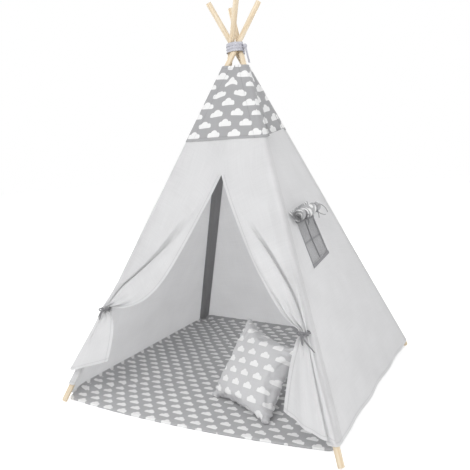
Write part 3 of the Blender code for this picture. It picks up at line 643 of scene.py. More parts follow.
def zinc_material():
    material, n, shader = new_material("zinc_tube")
    place = n.add("ShaderNodeTexCoord").outputs["Object"]
    lines = n.noise(n.vector("MULTIPLY", place, (30.0, 30.0, 1.0)), scale=60.0)
    colour = n.blend(n.remap(lines, 0.3, 0.7), (0.5, 0.51, 0.52, 1), (0.68, 0.69, 0.7, 1))
    n.put(shader.inputs["Base Color"], colour)
    n.put(shader.inputs["Roughness"], n.remap(lines, 0.3, 0.7, 0.28, 0.5))
    shader.inputs["Metallic"].default_value = 1.0
    return material


def mesh_material():
    """The window's fine mesh: lighter threads with painted shade between them, for the dark inside seen
    through the gaps.
    """
    material, n, shader = new_material("window_mesh")
    place = flat_cloth_place(n)
    x, y, _ = n.split(place)
    pitch = 0.0016
    lines = []
    for axis in (x, y):
        share = n.math("FRACT", n.math("DIVIDE", axis, pitch))
        lines.append(n.math("ABSOLUTE", n.math("SUBTRACT", share, 0.5)))
    thread = n.remap(n.math("MAXIMUM", *lines), 0.28, 0.4)
    soft = n.noise(place, scale=14.0, detail=3.0)
    # painted shade: the gaps between the threads are dark grey, for the shaded inside behind the mesh
    colour = n.blend(thread, (0.27, 0.27, 0.28, 1), (0.42, 0.42, 0.43, 1))
    tone = n.remap(soft, 0.3, 0.7, 0.88, 1.12)
    n.put(shader.inputs["Base Color"], n.blend(1.0, colour, n.join(tone, tone, tone), "MULTIPLY"))
    n.put(shader.inputs["Roughness"], n.remap(soft, 0.3, 0.7, 0.7, 0.9))
    n.put(shader.inputs["Normal"], n.bump(thread, 0.0003, 0.6))
    return material


WHITE_INK = (0.86, 0.86, 0.86)
LIGHT = cloth_material("light_grey_cotton", (0.85, 0.85, 0.855), through=0.46)
POCKET = cloth_material("light_pocket_cotton", (0.8, 0.8, 0.805), through=0.06)
# painted shade: a dark grey for the back pockets, standing in for the shade in the tent's back corners
SHADED_POCKET = cloth_material("dark_grey_cotton", (0.31, 0.31, 0.315), through=0.05)
BAND_PRINT = cloth_material(
    "cloud_cotton", (0.41, 0.41, 0.42), through=0.12, clouds=(0.088, 0.0445, WHITE_INK)
)
MAT_PRINT = cloth_material(
    "cloud_mat", (0.44, 0.44, 0.45), through=0, clouds=(0.07, 0.037, WHITE_INK)
)
CUSHION_PRINT = cloth_material(
    "cloud_cushion", (0.6, 0.6, 0.61), through=0, clouds=(0.066, 0.041, WHITE_INK)
)
BLIND_PRINT = cloth_material(
    "blind_print", (0.44, 0.44, 0.45), through=0.08, clouds=(0.06, 0.034, WHITE_INK), thread=0.0008
)
TAPE = cloth_material("grey_tape", (0.52, 0.52, 0.57), through=0.05, thread=0.0012)
RIBBON = cloth_material("grey_ribbon", (0.2, 0.2, 0.21), through=0.05, thread=0.0007)
TIE_RIBBON = cloth_material("tie_ribbon", (0.22, 0.22, 0.23), through=0.05, thread=0.0007)
TRIM = cloth_material("window_trim", (0.25, 0.25, 0.26), through=0.05, thread=0.0007)
SHEER = mesh_material()
ZINC = zinc_material()
PINES = [pine_material(i) for i in range(4)]


# The cover's walls and printed band


def wrinkles(along, up, seed, fine=0.0012, broad=0.004):
    """How far the cloth stands out there: long soft folds with finer ones on them."""
    slow = noise.noise(Vector((along * 3.1 + up * 1.3, up * 1.7 - along * 0.8, seed)))
    quick = noise.noise(Vector((along * 11 - up * 5, up * 7 + along * 2, seed + 7)))
    return broad * slow + fine * quick


def side_places(i, heights, columns):
    """The places of a level's columns, given as pairs (share, metres past it), and its run in metres."""
    start, end = side_ends(i, heights, COVER_MIDDLE)
    run = (end - start).length
    return [share + metres / run for share, metres in columns], run


ROUND_STEPS = 4
EDGE_STRIP = 0.034  # the cloth that lies on the pocket, next to each pole


def side_move(place, run, up, t, seed, sag, flutter):
    """How far a side stands out at up metres, share t of its height, from its hem."""
    near = min(place, 1 - place) * run
    free = smooth((near - EDGE_STRIP * 0.8) / 0.12)
    across = math.sin(math.pi * min(max(place, 0), 1))
    hang = -sag * across * math.sin(math.pi * (0.12 + 0.76 * t))
    along = (place - 0.5) * run
    ripple = flutter * hump(up, 0, 0.09) * math.sin(along * 21 + seed + 3 * up)
    return hang + free * (wrinkles(along, up, seed) + ripple)


def side_grid(i, levels, columns, seed, offset=COVER_MIDDLE, sag=WALL_SAG, flutter=0.004, foot=None):
    """A side's grid of points and its blending weights. Its lower edge falls to the height foot."""
    points, weights = [], []
    low, high = sum(levels[0]) / 2, sum(levels[-1]) / 2
    rounds = spread(0, 1, ROUND_STEPS)[1:]
    for heights in levels:
        z = sum(heights) / 2
        up = (z - low) / math.cos(WALL_LEAN)
        t = (z - low) / (high - low)
        places, run = side_places(i, heights, columns)
        out = leaning_normal(i, z)
        row = [side_point(i, heights, -share, offset) for share in reversed(rounds)]
        weight = []
        for place in places:
            near = min(place, 1 - place) * run
            move = side_move(place, run, up, t, seed, sag, flutter)
            spot = heights
            if foot is not None:
                fall = mix(*heights, place) - foot
                lower = fall * smooth(near / 0.05) * (1 - smooth(t / 0.3))
                spot = (heights[0] - lower, heights[1] - lower)
                move *= mix(1, 0.3, hump(t, 0, 0.06))
            row.append(side_point(i, spot, place, offset) + out * move)
            weight.append(1 - min(max((near - EDGE_STRIP) / (run / 2 - EDGE_STRIP), 0), 1))
        row += [side_point(i, heights, 1 + share, offset) for share in rounds]
        points.append(row)
        weights.append([1.0] * ROUND_STEPS + weight + [1.0] * ROUND_STEPS)
    return np.array(points), np.array(weights)


def hem_rows(low, high, count, both_hems=False):
    """Shares from 0 to 1 between two heights, with rows at the edges of the hems."""
    length = (high - low) / math.cos(WALL_LEAN)
    start = (HEM_WIDTH + HEM_STEP) / length
    end = [(length - HEM_WIDTH - HEM_STEP) / length, (length - HEM_WIDTH) / length] if both_hems else []
    stop = end[0] if end else 1.0
    between = [mix(start, stop, k / count) for k in range(1, count)]
    return [0.0, HEM_WIDTH / length, start, *between, *end, 1.0]


def levels_between(low, top, marks):
    """Pairs of heights at a side's two poles, from its lower edge to its upper one."""
    return [(mix(low[0], top[0], t), mix(low[1], top[1], t)) for t in marks]


def hem_thickness(points, both_hems=False):
    """The cloth's thickness, with its lower edge folded over, or both its edges."""
    up = metres_up(points)
    edge = HEM_WIDTH + 0.4 * HEM_STEP
    thickness = np.full(up.shape, CLOTH)
    thickness[up < edge] += HEM_EXTRA
    if both_hems:
        thickness[up > up[-1:] - edge] += HEM_EXTRA
    return thickness


def split_side(i, node, points, cut, material, places=None, open_cells=()):
    """Makes a side as two pieces that meet on its column cut, each named for the pole beside it."""
    band = node.startswith("band")
    places = flat_places(points) if places is None else places
    normals = grid_normals(points)
    normals[:, 0] = normals[:, 1] * 0.3 + normals[:, 0] * 0.7
    seams = seam_distances(points, band)
    thickness = hem_thickness(points, band)
    for columns, corner, first in ((slice(0, cut + 1), i, 0), (slice(cut, None), i + 1, cut)):
        name = CORNERS[corner % 4][0]
        holes = {(r, c - first) for r, c in open_cells if first <= c}
        part = points[:, columns]
        piece = shell(
            f"{node}_at_{name}",
            part,
            material,
            thickness[:, columns],
            places[:, columns],
            normals[:, columns],
            open_cells=holes,
            seams=seams[:, columns],
        )
        keep = used_points(part.shape[:2], holes)
        bend(piece)
        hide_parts(node)


def used_points(shape, holes):
    """Which points of a grid still carry a cell."""
    rows, columns = shape
    used = np.zeros(shape, bool)
    for r in range(rows - 1):
        for c in range(columns - 1):
            if (r, c) not in holes:
                used[r : r + 2, c : c + 2] = True
    return used


def plain_columns(count):
    """Columns across a side, in even shares between its pockets."""
    left = [(0, EDGE_STRIP * k / 3) for k in range(4)]
    right = [(1, -metres) for _, metres in reversed(left)]
    between = [(k / count, EDGE_STRIP * (1 - 2 * k / count)) for k in range(1, count)]
    return left + between + right


def middle_column(columns):
    """The number of the column half-way between the poles, in the whole grid."""
    return ROUND_STEPS + columns.index(next(c for c in columns if abs(c[0] - 0.5) < 1e-9))


WALL_ROWS = 44
WALL_COLUMNS = 36


def build_wall(i):
    """A wall without a window, whose hem reaches down to the mat between its poles."""
    low = (HEM_HEIGHTS[i], HEM_HEIGHTS[(i + 1) % 4])
    top = [BAND_BOTTOM + z for z in WALL_TOPS[i]]
    levels = levels_between(low, top, hem_rows(low[0], BAND_BOTTOM, WALL_ROWS))
    columns = plain_columns(WALL_COLUMNS)
    points, weights = side_grid(i, levels, columns, seed=3.0 * i, foot=0.005)
    split_side(i, f"wall_{SIDES[i]}", points, middle_column(columns), LIGHT)


RIGHT_STEPS = (9, 12, 16)  # columns in front of the window, over it and behind it
WINDOW_ROWS = 8
WINDOW_ROW_ENDS = (WINDOW_BOTTOM - 0.0144, WINDOW_BOTTOM + 0.041)  # the lowest one's, at both poles


def right_columns(z, run):
    """The right wall's columns at one height, with lines at both edges of the window."""
    narrow = min(1.0, (CROSSING_HEIGHT - z) / (CROSSING_HEIGHT - BLIND_SEAM_HEIGHT))
    edges = [(WINDOW_SHIFT - WINDOW_WIDTH / 2) * narrow, (WINDOW_SHIFT + WINDOW_WIDTH / 2) * narrow]
    stops = [-run / 2 + EDGE_STRIP, *edges, run / 2 - EDGE_STRIP]
    strip = [EDGE_STRIP * k / 3 for k in range(3)]
    metres = [-run / 2 + s for s in strip]
    for start, stop, count in zip(stops, stops[1:], RIGHT_STEPS):
        metres += [mix(start, stop, k / count) for k in range(count)]
    return metres + [stops[-1]] + [run / 2 - s for s in reversed(strip)]


def build_right_wall():
    """The right wall: its window is a hole in the part beside the front pole."""
    low = (HEM_HEIGHTS[1], HEM_HEIGHTS[2])
    top = [BAND_BOTTOM + z for z in WALL_TOPS[RIGHT]]
    every = levels_between(low, top, hem_rows(low[0], BAND_BOTTOM, WALL_ROWS))
    lower = [h for h in every if h[0] < WINDOW_BOTTOM - 0.03]
    upper = [h for h in every if h[0] > WINDOW_TOP + 0.012]
    window = levels_between(WINDOW_ROW_ENDS, (WINDOW_TOP, WINDOW_TOP), spread(0, 1, WINDOW_ROWS))
    first = 3 + RIGHT_STEPS[0]
    last = first + RIGHT_STEPS[1]
    points, weights = [], []
    for heights in lower + window + upper:
        _, run = side_places(RIGHT, heights, [])
        metres = right_columns(sum(heights) / 2, run)
        row, _ = side_grid(RIGHT, [low, heights, top], [(0.5, m) for m in metres], 5.0)
        narrow = metres[first] * 1.12
        start = -run / 2 + EDGE_STRIP
        reach = run / 2 - EDGE_STRIP - metres[last]
        front = [min(max((narrow - m) / (narrow - start), 0), 1) for m in metres]
        back = [min(max((m - metres[last]) / reach, 0), 1) for m in metres]
        mixed = [f if m <= metres[last] else b for f, b, m in zip(front, back, metres)]
        points.append(row[1])
        weights.append([1.0] * ROUND_STEPS + mixed + [1.0] * ROUND_STEPS)
    first, last = first + ROUND_STEPS, last + ROUND_STEPS
    rows = range(len(lower), len(lower) + WINDOW_ROWS)
    holes = {(r, c) for r in rows for c in range(first, last)}
    points, weights = np.array(points), np.array(weights)
    split_side(RIGHT, "wall_right", points, last, LIGHT, open_cells=holes)


BAND_OVERLAP = 0.006
BAND_OUT = 0.0016
BAND_ROWS = 22
BAND_RISES = ((0, 0), (0, 0.034), (0.034, 0), (0, 0))  # how far each lower edge rises at its ends
WALL_TOPS = ((0, 0), (0, 0.036), (0.036, 0), (0, 0))  # so the walls under it reach as far


def band_fold(i, along, up, run):
    """The printed panels' own folds: how far the cloth stands out there."""
    top = BAND_TOP - BAND_BOTTOM
    t = up / top
    move = 0.0
    if i == RIGHT:
        ridge = mix(-0.4, -0.37, t) * run
        behind = smooth((along - ridge) / 0.014) * (1 - smooth((along - 0.1 * run) / (0.36 * run)))
        move -= mix(0.034, 0.01, t) * behind * smooth((t + 0.04) / 0.2)
        move -= 0.012 * smooth((t + 0.25) / 0.4) * hump(along, ridge + 0.014, 0.009)
        move += 0.005 * hump(along, ridge - 0.004, 0.011)
        move += 0.004 * math.sin(along * 40 + 2 * t)
    move += 0.004 * smooth((t - 0.5) / 0.5) * math.sin(along * 90 + i)
    return move


def build_band(i):
    """A printed panel: it overlaps the wall under it, and both its edges are hemmed."""
    low = BAND_BOTTOM - BAND_OVERLAP
    marks = hem_rows(low, BAND_TOP, BAND_ROWS, True)
    levels = levels_between([low + rise for rise in BAND_RISES[i]], (BAND_TOP, BAND_TOP), marks)
    columns = plain_columns(48 if i == RIGHT else 24)
    points, weights = side_grid(
        i, levels, columns, 11.0 + i, offset=COVER_MIDDLE + BAND_OUT, sag=0.0, flutter=0.0
    )
    places = flat_places(points)
    for r, heights in enumerate(levels):
        out = leaning_normal(i, heights[0])
        spots, run = side_places(i, heights, columns)
        for c, place in enumerate(spots):
            free = smooth(min(place, 1 - place) * run / 0.03)
            along = (place - 0.5) * run
            move = free * band_fold(i, along, mix(*heights, place) - low, run)
            points[r, c + ROUND_STEPS] += np.array(out * move)
    split_side(i, f"band_{SIDES[i]}", points, middle_column(columns), BAND_PRINT, places)


SLEEVE_ROWS = 60


def sleeve_section(i, z):
    """A pocket seen from above: a strip of cloth on one wall, round the pole and on the other."""
    before, after = side_normal(i - 1, z), side_normal(i, z)
    along_before = Vector((before.y, -before.x, 0))
    along_after = Vector((-after.y, after.x, 0))
    centre = pole_centre(i, z)
    flat = COVER_MIDDLE - CLOTH - 0.0006
    inner = SLEEVE_BORE / math.cos(LEAN) + 0.0022
    reaches = [inner + 0.0052, inner + 0.0046, inner + 0.004, inner + 0.0034]
    points = [centre + before * flat + along_before * r for r in reaches]
    points.append(centre + before * (flat * 0.45) + along_before * (inner + 0.0006))
    points += [centre + along_before.slerp(along_after, k / 10) * inner for k in range(11)]
    points.append(centre + after * (flat * 0.45) + along_after * (inner + 0.0006))
    points += [centre + after * flat + along_after * r for r in reversed(reaches)]
    return points


def pocket_layer(i, label, points, thickness):
    """One layer of a pocket's cloth, light at the front and painted dark grey at the back, for the shade in
    the back corners.
    """
    name = CORNERS[i][0]
    material, slot = (POCKET, "light_grey_cotton") if i < 2 else (SHADED_POCKET, "dark_grey_cotton")
    piece = shell(f"sleeve_{name}_{label}", points, material, thickness)
    carry(piece, f"pole_{name}", f"sleeve_{name}")


def build_sleeve(i):
    grid = np.array([sleeve_section(i, z) for z in spread(HEM_HEIGHTS[i], SLEEVE_TOP, SLEEVE_ROWS)])
    for r, row in enumerate(grid):
        up = r / SLEEVE_ROWS
        for c in range(5, 16):
            swell = 0.0012 * noise.noise(Vector((c * 0.35, up * 26, i * 5.0)))
            outward = Vector(row[c]) - pole_centre(i, row[c][2])
            grid[r, c] += np.array(outward.normalized() * swell)
    pocket_layer(i, "cloth", grid[:, ::-1], 0.001)
    build_sleeve_outside(i)


def build_sleeve_outside(i):
    """The pocket's other side, between the pole and the cover."""
    offset = COVER_MIDDLE - CLOTH - 0.0018
    reaches = (0.0125, 0.006)
    rows = []
    for z in spread(HEM_HEIGHTS[i], SLEEVE_TOP, 40):
        before, after = side_normal(i - 1, z), side_normal(i, z)
        along_before = Vector((before.y, -before.x, 0))
        along_after = Vector((-after.y, after.x, 0))
        centre = pole_centre(i, z)
        row = [centre + before * offset + along_before * r for r in reaches]
        row += [round_corner(i, z, k / 8, offset) for k in range(9)]
        row += [centre + after * offset + along_after * r for r in reversed(reaches)]
        rows.append(row)
    pocket_layer(i, "outside", np.array(rows), 0.0009)


# The doorway's drapes, skirts and ties


def mitre_corner(hand, z):
    """The point outside a front pole where the middles of its two sides' cloth would meet."""
    before, after = side_normal(hand - 1, z), side_normal(hand, z)
    return pole_centre(hand, z) + (before + after) / (1 + before.dot(after)) * COVER_MIDDLE


def front_point(hand, z, from_corner, out):
    """A point of the front: along from its corner, round the pole near it, and out from the cloth."""
    normal = side_normal(FRONT, z)
    if from_corner < COVER_MIDDLE:
        share = 1 - from_corner / COVER_MIDDLE
        other = side_normal(LEFT if hand == 0 else RIGHT, z)
        way = normal.slerp(other, share / 2)
        return pole_centre(hand, z) + way * (COVER_MIDDLE + out)
    start, end = mitre_corner(hand, z), mitre_corner(1 - hand, z)
    return start + (end - start).normalized() * from_corner + normal * out


def seam_from_corner(hand, z):
    """How far the seam in the middle of the front lies from a front corner."""
    width = (mitre_corner(0, z) - mitre_corner(1, z)).length
    return width / 2 + (SLIT_SHIFT if hand == 0 else -SLIT_SHIFT)


NECK_NEAR = NECK_FROM_CORNER - NECK_HALF_WIDTH
NECK_FAR = NECK_FROM_CORNER + NECK_HALF_WIDTH
NECK_PLEATS = 3
PLAIN_ROWS = 12
FALL_ROWS = 56


def neck_fold(v):
    """How far the pleats of the gathered cloth stand out."""
    return NECK_FOLD_DEPTH * math.cos(math.tau * NECK_PLEATS * v)


def neck_row(hand, z, places):
    """The gathered cloth at one height of its tie."""
    return [front_point(hand, z, mix(NECK_FAR, NECK_NEAR, v), NECK_OUT + neck_fold(v)) for v in places]


CREASES = ((0.17, 0.86, 0.69), (0.1, 0.9, 0.84))  # a crease's place at the top, its drift, its end
CREASE_DIPS = (0.017, 0.015)
CREASE_STARTS = (0.05, 0.2)
ROLL_HEIGHT = 0.024
ROLL_COLUMNS = 16
FLAT_COLUMNS = 22
TUCK = (  # the roll's steep side: metres past the crease, soft and tucked, and share of its height
    (-0.026, -0.026, 0.99),
    (-0.016, -0.012, 0.94),
    (-0.009, 0.001, 0.79),
    (-0.003, 0.01, 0.52),
    (0.002, 0.0105, 0.3),
    (0.006, 0.003, 0.1),
    (0.01, -0.004, 0.02),
    (0.016, 0.006, 0.0),
    (0.024, 0.02, 0.04),
)


def tuck_places(crease, width, tucked):
    """The columns over a crease, as (place, share of the roll's height)."""
    size = min(1, crease * width / 0.06, (1 - crease) * width / 0.05)
    return [(crease + mix(soft, sharp, tucked) * size / width, share) for soft, sharp, share in TUCK]


def crease_place(hand, s):
    """Where the crease lies between a drape's edge and its pole, which it doesn't quite reach."""
    start, drift, end = CREASES[hand]
    place = max(start + drift * (s - 0.17), 0.12)
    return -math.log(math.exp(-30 * place) + math.exp(-30 * end)) / 30


def drape_section(hand, s, width):
    """One level of a drape, from its edge to its pole: pairs of place and metres out.

    The edge is a full roll, which ends in a sharp crease where it laps over the flat cloth.
    """
    crease = crease_place(hand, s)
    depth = smooth((s - CREASE_STARTS[hand]) / 0.36)
    tucked = smooth((s - 0.22) / 0.25) * (1 - smooth((s - 0.86) / 0.12))
    dip = CREASE_DIPS[hand]
    steep = tuck_places(crease, width, tucked)
    section = []
    for k in range(ROLL_COLUMNS):
        x = k / ROLL_COLUMNS
        out = ROLL_HEIGHT * math.sin(mix(0.16, 0.6, x) * math.pi) ** 0.75
        out += 0.004 * math.sin(math.tau * (1.7 * x + 0.15)) * smooth((s - 0.45) / 0.4) * (1 - x)
        section.append((steep[0][0] * x, depth * out))
    for place, share in steep:
        section.append((place, depth * mix(-dip, ROLL_HEIGHT * 0.96, share)))
    for k in range(1, FLAT_COLUMNS + 1):
        place = mix(steep[-1][0], 1, k / FLAT_COLUMNS)
        away = place - crease
        out = -dip * math.exp(-((away / 0.085) ** 1.3)) + 0.005 * hump(away, 0.2, 0.09) * (1 - s)
        section.append((place, depth * out))
    return section


def plain_level(hand, z):
    """A level over the doorway: its points, blending weights and distances from the free edge."""
    far = seam_from_corner(hand, z)
    row, weight, margin = [], [], []
    for v, _ in drape_section(hand, 0, far):
        a = mix(far, 0, v)
        free = smooth((a - 0.03) / 0.1) * smooth(v / 0.12)
        row.append(front_point(hand, z, a, free * wrinkles(a, z, 20.0 + hand, 0.0008, 0.003)))
        weight.append(min(v * far / (far - EDGE_STRIP), 1))
        margin.append(v * far + 0.5 * smooth((z - SLIT_TOP) / 0.02))
    return row, weight, margin


def falling_level(hand, s):
    """A level beside the doorway, as plain_level gives it. s is 0 at its top and 1 at the tie."""
    neck_top = TIE_HEIGHT + NECK_HALF_HEIGHT
    fall = SLIT_TOP - neck_top
    gather = smooth((s - GATHER_START) / (1 - GATHER_START))
    edge_z = neck_top + fall * (1 - s) ** EDGE_SWAG[hand]
    corner_z = neck_top + fall * (1 - s) ** CORNER_SWAG
    edge = mix(seam_from_corner(hand, SLIT_TOP), NECK_FAR, s ** EDGE_HOLD[hand])
    corner = mix(0, NECK_NEAR, gather)
    stand = NECK_OUT * smooth((s - STAND_OUT_START) / (1 - STAND_OUT_START))
    width = math.hypot(edge - corner, corner_z - edge_z)
    row, weight, margin = [], [], []
    for v, own in drape_section(hand, s, width):
        near = 1 - v
        own *= min(near / 0.12, 1)
        own += 0.0045 * math.sin(math.tau * (3.2 * v + 0.3)) * smooth((s - 0.62) / 0.25)
        out = mix(stand + own, NECK_OUT + neck_fold(v), smooth((s - 0.84) / 0.16))
        out *= mix(1, smooth(near / 0.1), 1 - gather)
        z, a = mix(edge_z, corner_z, v), mix(edge, corner, v)
        out += 0.0015 * (1 - gather) * noise.noise(Vector((a * 16, z * 9, 31.0 + hand)))
        clear = 0.0022 * smooth(s / 0.2)
        out = mix(max(out, clear), out, smooth((a - 0.03) / 0.02))
        row.append(front_point(hand, z, a, out))
        weight.append(1 - (1 - v) * (1 - s) ** 1.2)
        margin.append(v * width)
    return row, weight, margin


def neck_level(hand, z):
    places = [v for v, _ in drape_section(hand, 1, NECK_FAR - NECK_NEAR)]
    return neck_row(hand, z, places), [1.0] * len(places), [v * 0.1 for v in places]


def drape_grid(hand):
    """Points, weights and margins, from the tie up to the band and from the free edge to the pole."""
    levels = [plain_level(hand, z) for z in spread(BAND_BOTTOM, SLIT_TOP, PLAIN_ROWS)[:-1]]
    levels += [falling_level(hand, n / FALL_ROWS) for n in range(FALL_ROWS)]
    levels += [neck_level(hand, z) for z in (TIE_HEIGHT + NECK_HALF_HEIGHT, TIE_HEIGHT)]
    return [np.array(parts) for parts in zip(*reversed(levels))]


FACING_TOP = 0.72
FACING_REACH = 0.036


def build_facing(hand):
    """The front cloth that stays on its pole: round it and a little way along the front."""
    corner = CORNERS[hand][0]
    reaches = spread(0, COVER_MIDDLE, 5) + spread(COVER_MIDDLE + 0.006, FACING_REACH, 3)
    rows = []
    for z in spread(HEM_HEIGHTS[hand], FACING_TOP, 40):
        rows.append([front_point(hand, z, a, 0.0004 * math.sin(z * 30)) for a in reaches])
    points = np.array(rows)
    if not outward_grid(points):
        points = points[:, ::-1]
    seams = seam_distances(points)
    seams[..., 1] += 1
    piece = shell(f"corner_facing_{HANDS[hand]}", points, LIGHT, hem_thickness(points), seams=seams)
    carry(piece, f"pole_{corner}", f"sleeve_{corner}")


SKIRT_CREASES = (0.8, 0.82)
SKIRT_RIDGES = (0.009, 0.013)
SKIRT_ROWS = 38


def skirt_section(hand, r, width):
    """One level of the loose cloth under a tie: pairs of place and metres out."""
    crease = SKIRT_CREASES[hand]
    deep = smooth(r / 0.2) * (1 - smooth((r - 0.42) / 0.25) if hand == 0 else 1)
    ridge, dip = SKIRT_RIDGES[hand] * deep, 0.005 * deep
    steep = tuck_places(crease, width, deep)
    section = []
    for k in range(18):
        v = steep[0][0] * k / 18
        section.append((v, ridge * smooth(v / crease)))
    section += [(v, mix(-dip, ridge, share)) for v, share in steep]
    for k in range(1, 9):
        v = mix(steep[-1][0], 1, k / 8)
        section.append((v, -dip * math.exp(-(v - crease) / 0.06)))
    loose = smooth(r * 1.6)
    shaped = []
    for v, out in section:
        if hand == 0:
            out += (0.009 * hump(v, 0.45, 0.28) + 0.004 * math.sin(8.2 * v + 0.6)) * r
        else:
            out += 0.011 * hump(v, 0.42, 0.22) * loose + 0.004 * math.sin(v * 17) * (1 - v) * r
        shaped.append((v, out))
    return shaped


def skirt_grid(hand):
    """Rows of points from the hem up to the tie, and how far they lie from the free edge."""
    neck_foot = TIE_HEIGHT - NECK_HALF_HEIGHT
    places = [v for v, _ in skirt_section(hand, 0, NECK_FAR - NECK_NEAR)]
    rows = [neck_row(hand, TIE_HEIGHT - TOUCH_GAP, places)]
    margins = [[v * 0.1 for v in places]]
    for r in spread(0, 1, SKIRT_ROWS):
        edge_z = mix(neck_foot, SKIRT_HEM_AT_EDGE[hand], r)
        corner_z = mix(neck_foot, SKIRT_HEM_AT_CORNER[hand], r)
        edge = mix(NECK_FAR, SKIRT_WIDTHS[hand], r ** SKIRT_SPREADS[hand])
        corner = mix(NECK_NEAR, SKIRT_FROM_CORNER, r)
        flare = mix(NECK_OUT, SKIRT_FLARES[hand], r)
        row = []
        section = skirt_section(hand, r, edge - corner)
        for v, own in section:
            fold = mix(neck_fold(v), own, smooth(r / 0.3))
            fold *= 1 - smooth((v - 0.88) / 0.12) * r
            z, a = mix(edge_z, corner_z, v), mix(edge, corner, v)
            row.append(front_point(hand, z, a, flare + fold))
        rows.append(row)
        margins.append([v * (edge - corner) for v, _ in section])
    rows.reverse()
    margins.reverse()
    return np.array(rows), np.array(margins)


def outward_grid(points):
    """Whether a grid's surface faces out of the doorway."""
    middle = grid_normals(points)[len(points) // 2, points.shape[1] // 2]
    return middle[1] < 0


def build_drape(hand):
    name = HANDS[hand]
    points, weights, margins = drape_grid(hand)
    if not outward_grid(points):
        points, weights, margins = points[:, ::-1], weights[:, ::-1], margins[:, ::-1]
    thickness = np.where(margins < HEM_WIDTH, CLOTH + HEM_EXTRA, CLOTH)
    seams = np.stack([metres_up(points) + 1, margins - HEM_STITCH], axis=2)
    piece = shell(f"front_drape_{name}_cloth", points, LIGHT, thickness, seams=seams)
    start = front_point(hand, SLIT_TOP, seam_from_corner(hand, SLIT_TOP), 0)
    bend(piece)
    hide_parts(f"front_drape_{name}")
    return piece, points


def build_skirt(hand):
    name = HANDS[hand]
    points, margins = skirt_grid(hand)
    if not outward_grid(points):
        points, margins = points[:, ::-1], margins[:, ::-1]
    thickness = hem_thickness(points) + np.where(margins < HEM_WIDTH, HEM_EXTRA, 0)
    seams = np.stack([metres_up(points) - HEM_STITCH, margins - HEM_STITCH], axis=2)
    piece = shell(f"door_skirt_{name}_cloth", points, LIGHT, thickness, seams=seams)
    carry(piece, f"door_{name}", f"door_skirt_{name}")
    anchor = front_point(hand, SKIRT_HEM_AT_CORNER[hand], SKIRT_FROM_CORNER, 0)
    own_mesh(piece)


def tie_point(hand, aside, out, drop=0.0):
    return front_point(hand, TIE_HEIGHT - drop, NECK_FROM_CORNER + aside, NECK_OUT + out)


TIE_ROOM = 1.42  # an oval round a flat neck is that much wider than the neck
TIE_ENDS = (((0.03, -0.006), (0.04, 0.004)), ((0.034, 0.006), (0.052, -0.014)))  # (length, aside)
TIE_LOOP = (
    (0.002, 0, 0),
    (0.009, 0.004, -0.004),
    (0.013, 0.003, 0.001),
    (0.008, 0.0005, 0.005),
    (0.002, 0.001, 0.002),
)


def tie_band(hand, wide, deep, up):
    """The turn of ribbon round a gathered neck."""
    rows = []
    for k in range(5):
        lift = (k / 4 - 0.5) * 0.0085
        pinch = 1 + 0.04 * math.cos(math.pi * (k / 4 - 0.5) * 2)
        ring = []
        for j in range(40):
            turn = j * math.tau / 40
            size = pinch * (1 + 0.02 * math.sin(turn * 9 + k))
            p = tie_point(hand, wide * size * math.cos(turn), deep * size * math.sin(turn))
            ring.append(p + up * lift)
        rows.append(ring)
    points = np.array(rows)
    if grid_normals(points, True)[2, 10].dot(np.array(side_normal(FRONT, TIE_HEIGHT))) < 0:
        points = points[:, ::-1]
    return shell(f"tieback_{HANDS[hand]}_ribbon", points, TIE_RIBBON, 0.001, wrap=True)


def build_tieback(hand):
    """A ribbon wound round the gathered neck, with its knot, two loops and two loose ends."""
    name, pole = HANDS[hand], f"pole_{CORNERS[hand][0]}"
    wide = NECK_HALF_WIDTH * TIE_ROOM + 0.0012
    deep = (NECK_FOLD_DEPTH + CLOTH_LEVEL / 2) * TIE_ROOM + 0.001
    ahead = side_normal(FRONT, TIE_HEIGHT)
    up = (tie_point(hand, 0, 0) - tie_point(hand, 0, 0, NECK_HALF_HEIGHT)).normalized()
    band = tie_band(hand, wide, deep, up)
    knot_out = deep + 0.0048
    spot = tie_point(hand, 0, knot_out)
    pieces = [band, ball(f"tieback_{name}_knot", spot, (0.0066, 0.0054, 0.006), TIE_RIBBON, 0.07)]
    level = ahead.cross(Vector((0, 0, 1)))
    for k, (length, sway) in enumerate(TIE_ENDS[hand]):
        spots = []
        for share in (0, 0.2, 0.45, 0.7, 1):
            out = knot_out + 0.001 + 0.003 * math.sin(share * 4)
            spots.append(tie_point(hand, sway * (0.1 + share), out, share * length))
        path = smooth_path(spots, 5)
        turn = [(level + ahead * (0.5 * math.sin(j / 5))).normalized() for j in range(len(path))]
        end = ribbon(f"tieback_{name}_end_{k + 1}", path, turn, 0.0058, LOOSE_RIBBON, TIE_RIBBON, 0.0007)
        pieces.append(end)
    for k, side in enumerate((-1, 1)):
        path = smooth_path([tie_point(hand, side * a, knot_out + b, c) for a, b, c in TIE_LOOP], 5)
        loop = ribbon(f"tieback_{name}_loop_{k + 1}", path, up, 0.0056, LOOSE_RIBBON, TIE_RIBBON, 0.0005)
        pieces.append(loop)
    for piece in pieces:
        carry(piece, pole, f"tieback_{name}")
    return pieces


# The window and its blind


def wall_frame():
    """The blind's seam: its middle, and the directions along, out of and down the wall."""
    start, end = side_ends(RIGHT, (BLIND_SEAM_HEIGHT,) * 2, COVER_OUTSIDE)
    along = (end - start).normalized()
    seam = (start + end) / 2 + along * WINDOW_SHIFT
    above = BLIND_SEAM_HEIGHT + 0.1
    up = sum(side_ends(RIGHT, (above, above), COVER_OUTSIDE), Vector()) / 2 - (start + end) / 2
    up.normalize()
    return seam, along, along.cross(up).normalized(), -up


WINDOW_TILT = 0.079  # how far the window's lower edge rises towards the back, for each metre


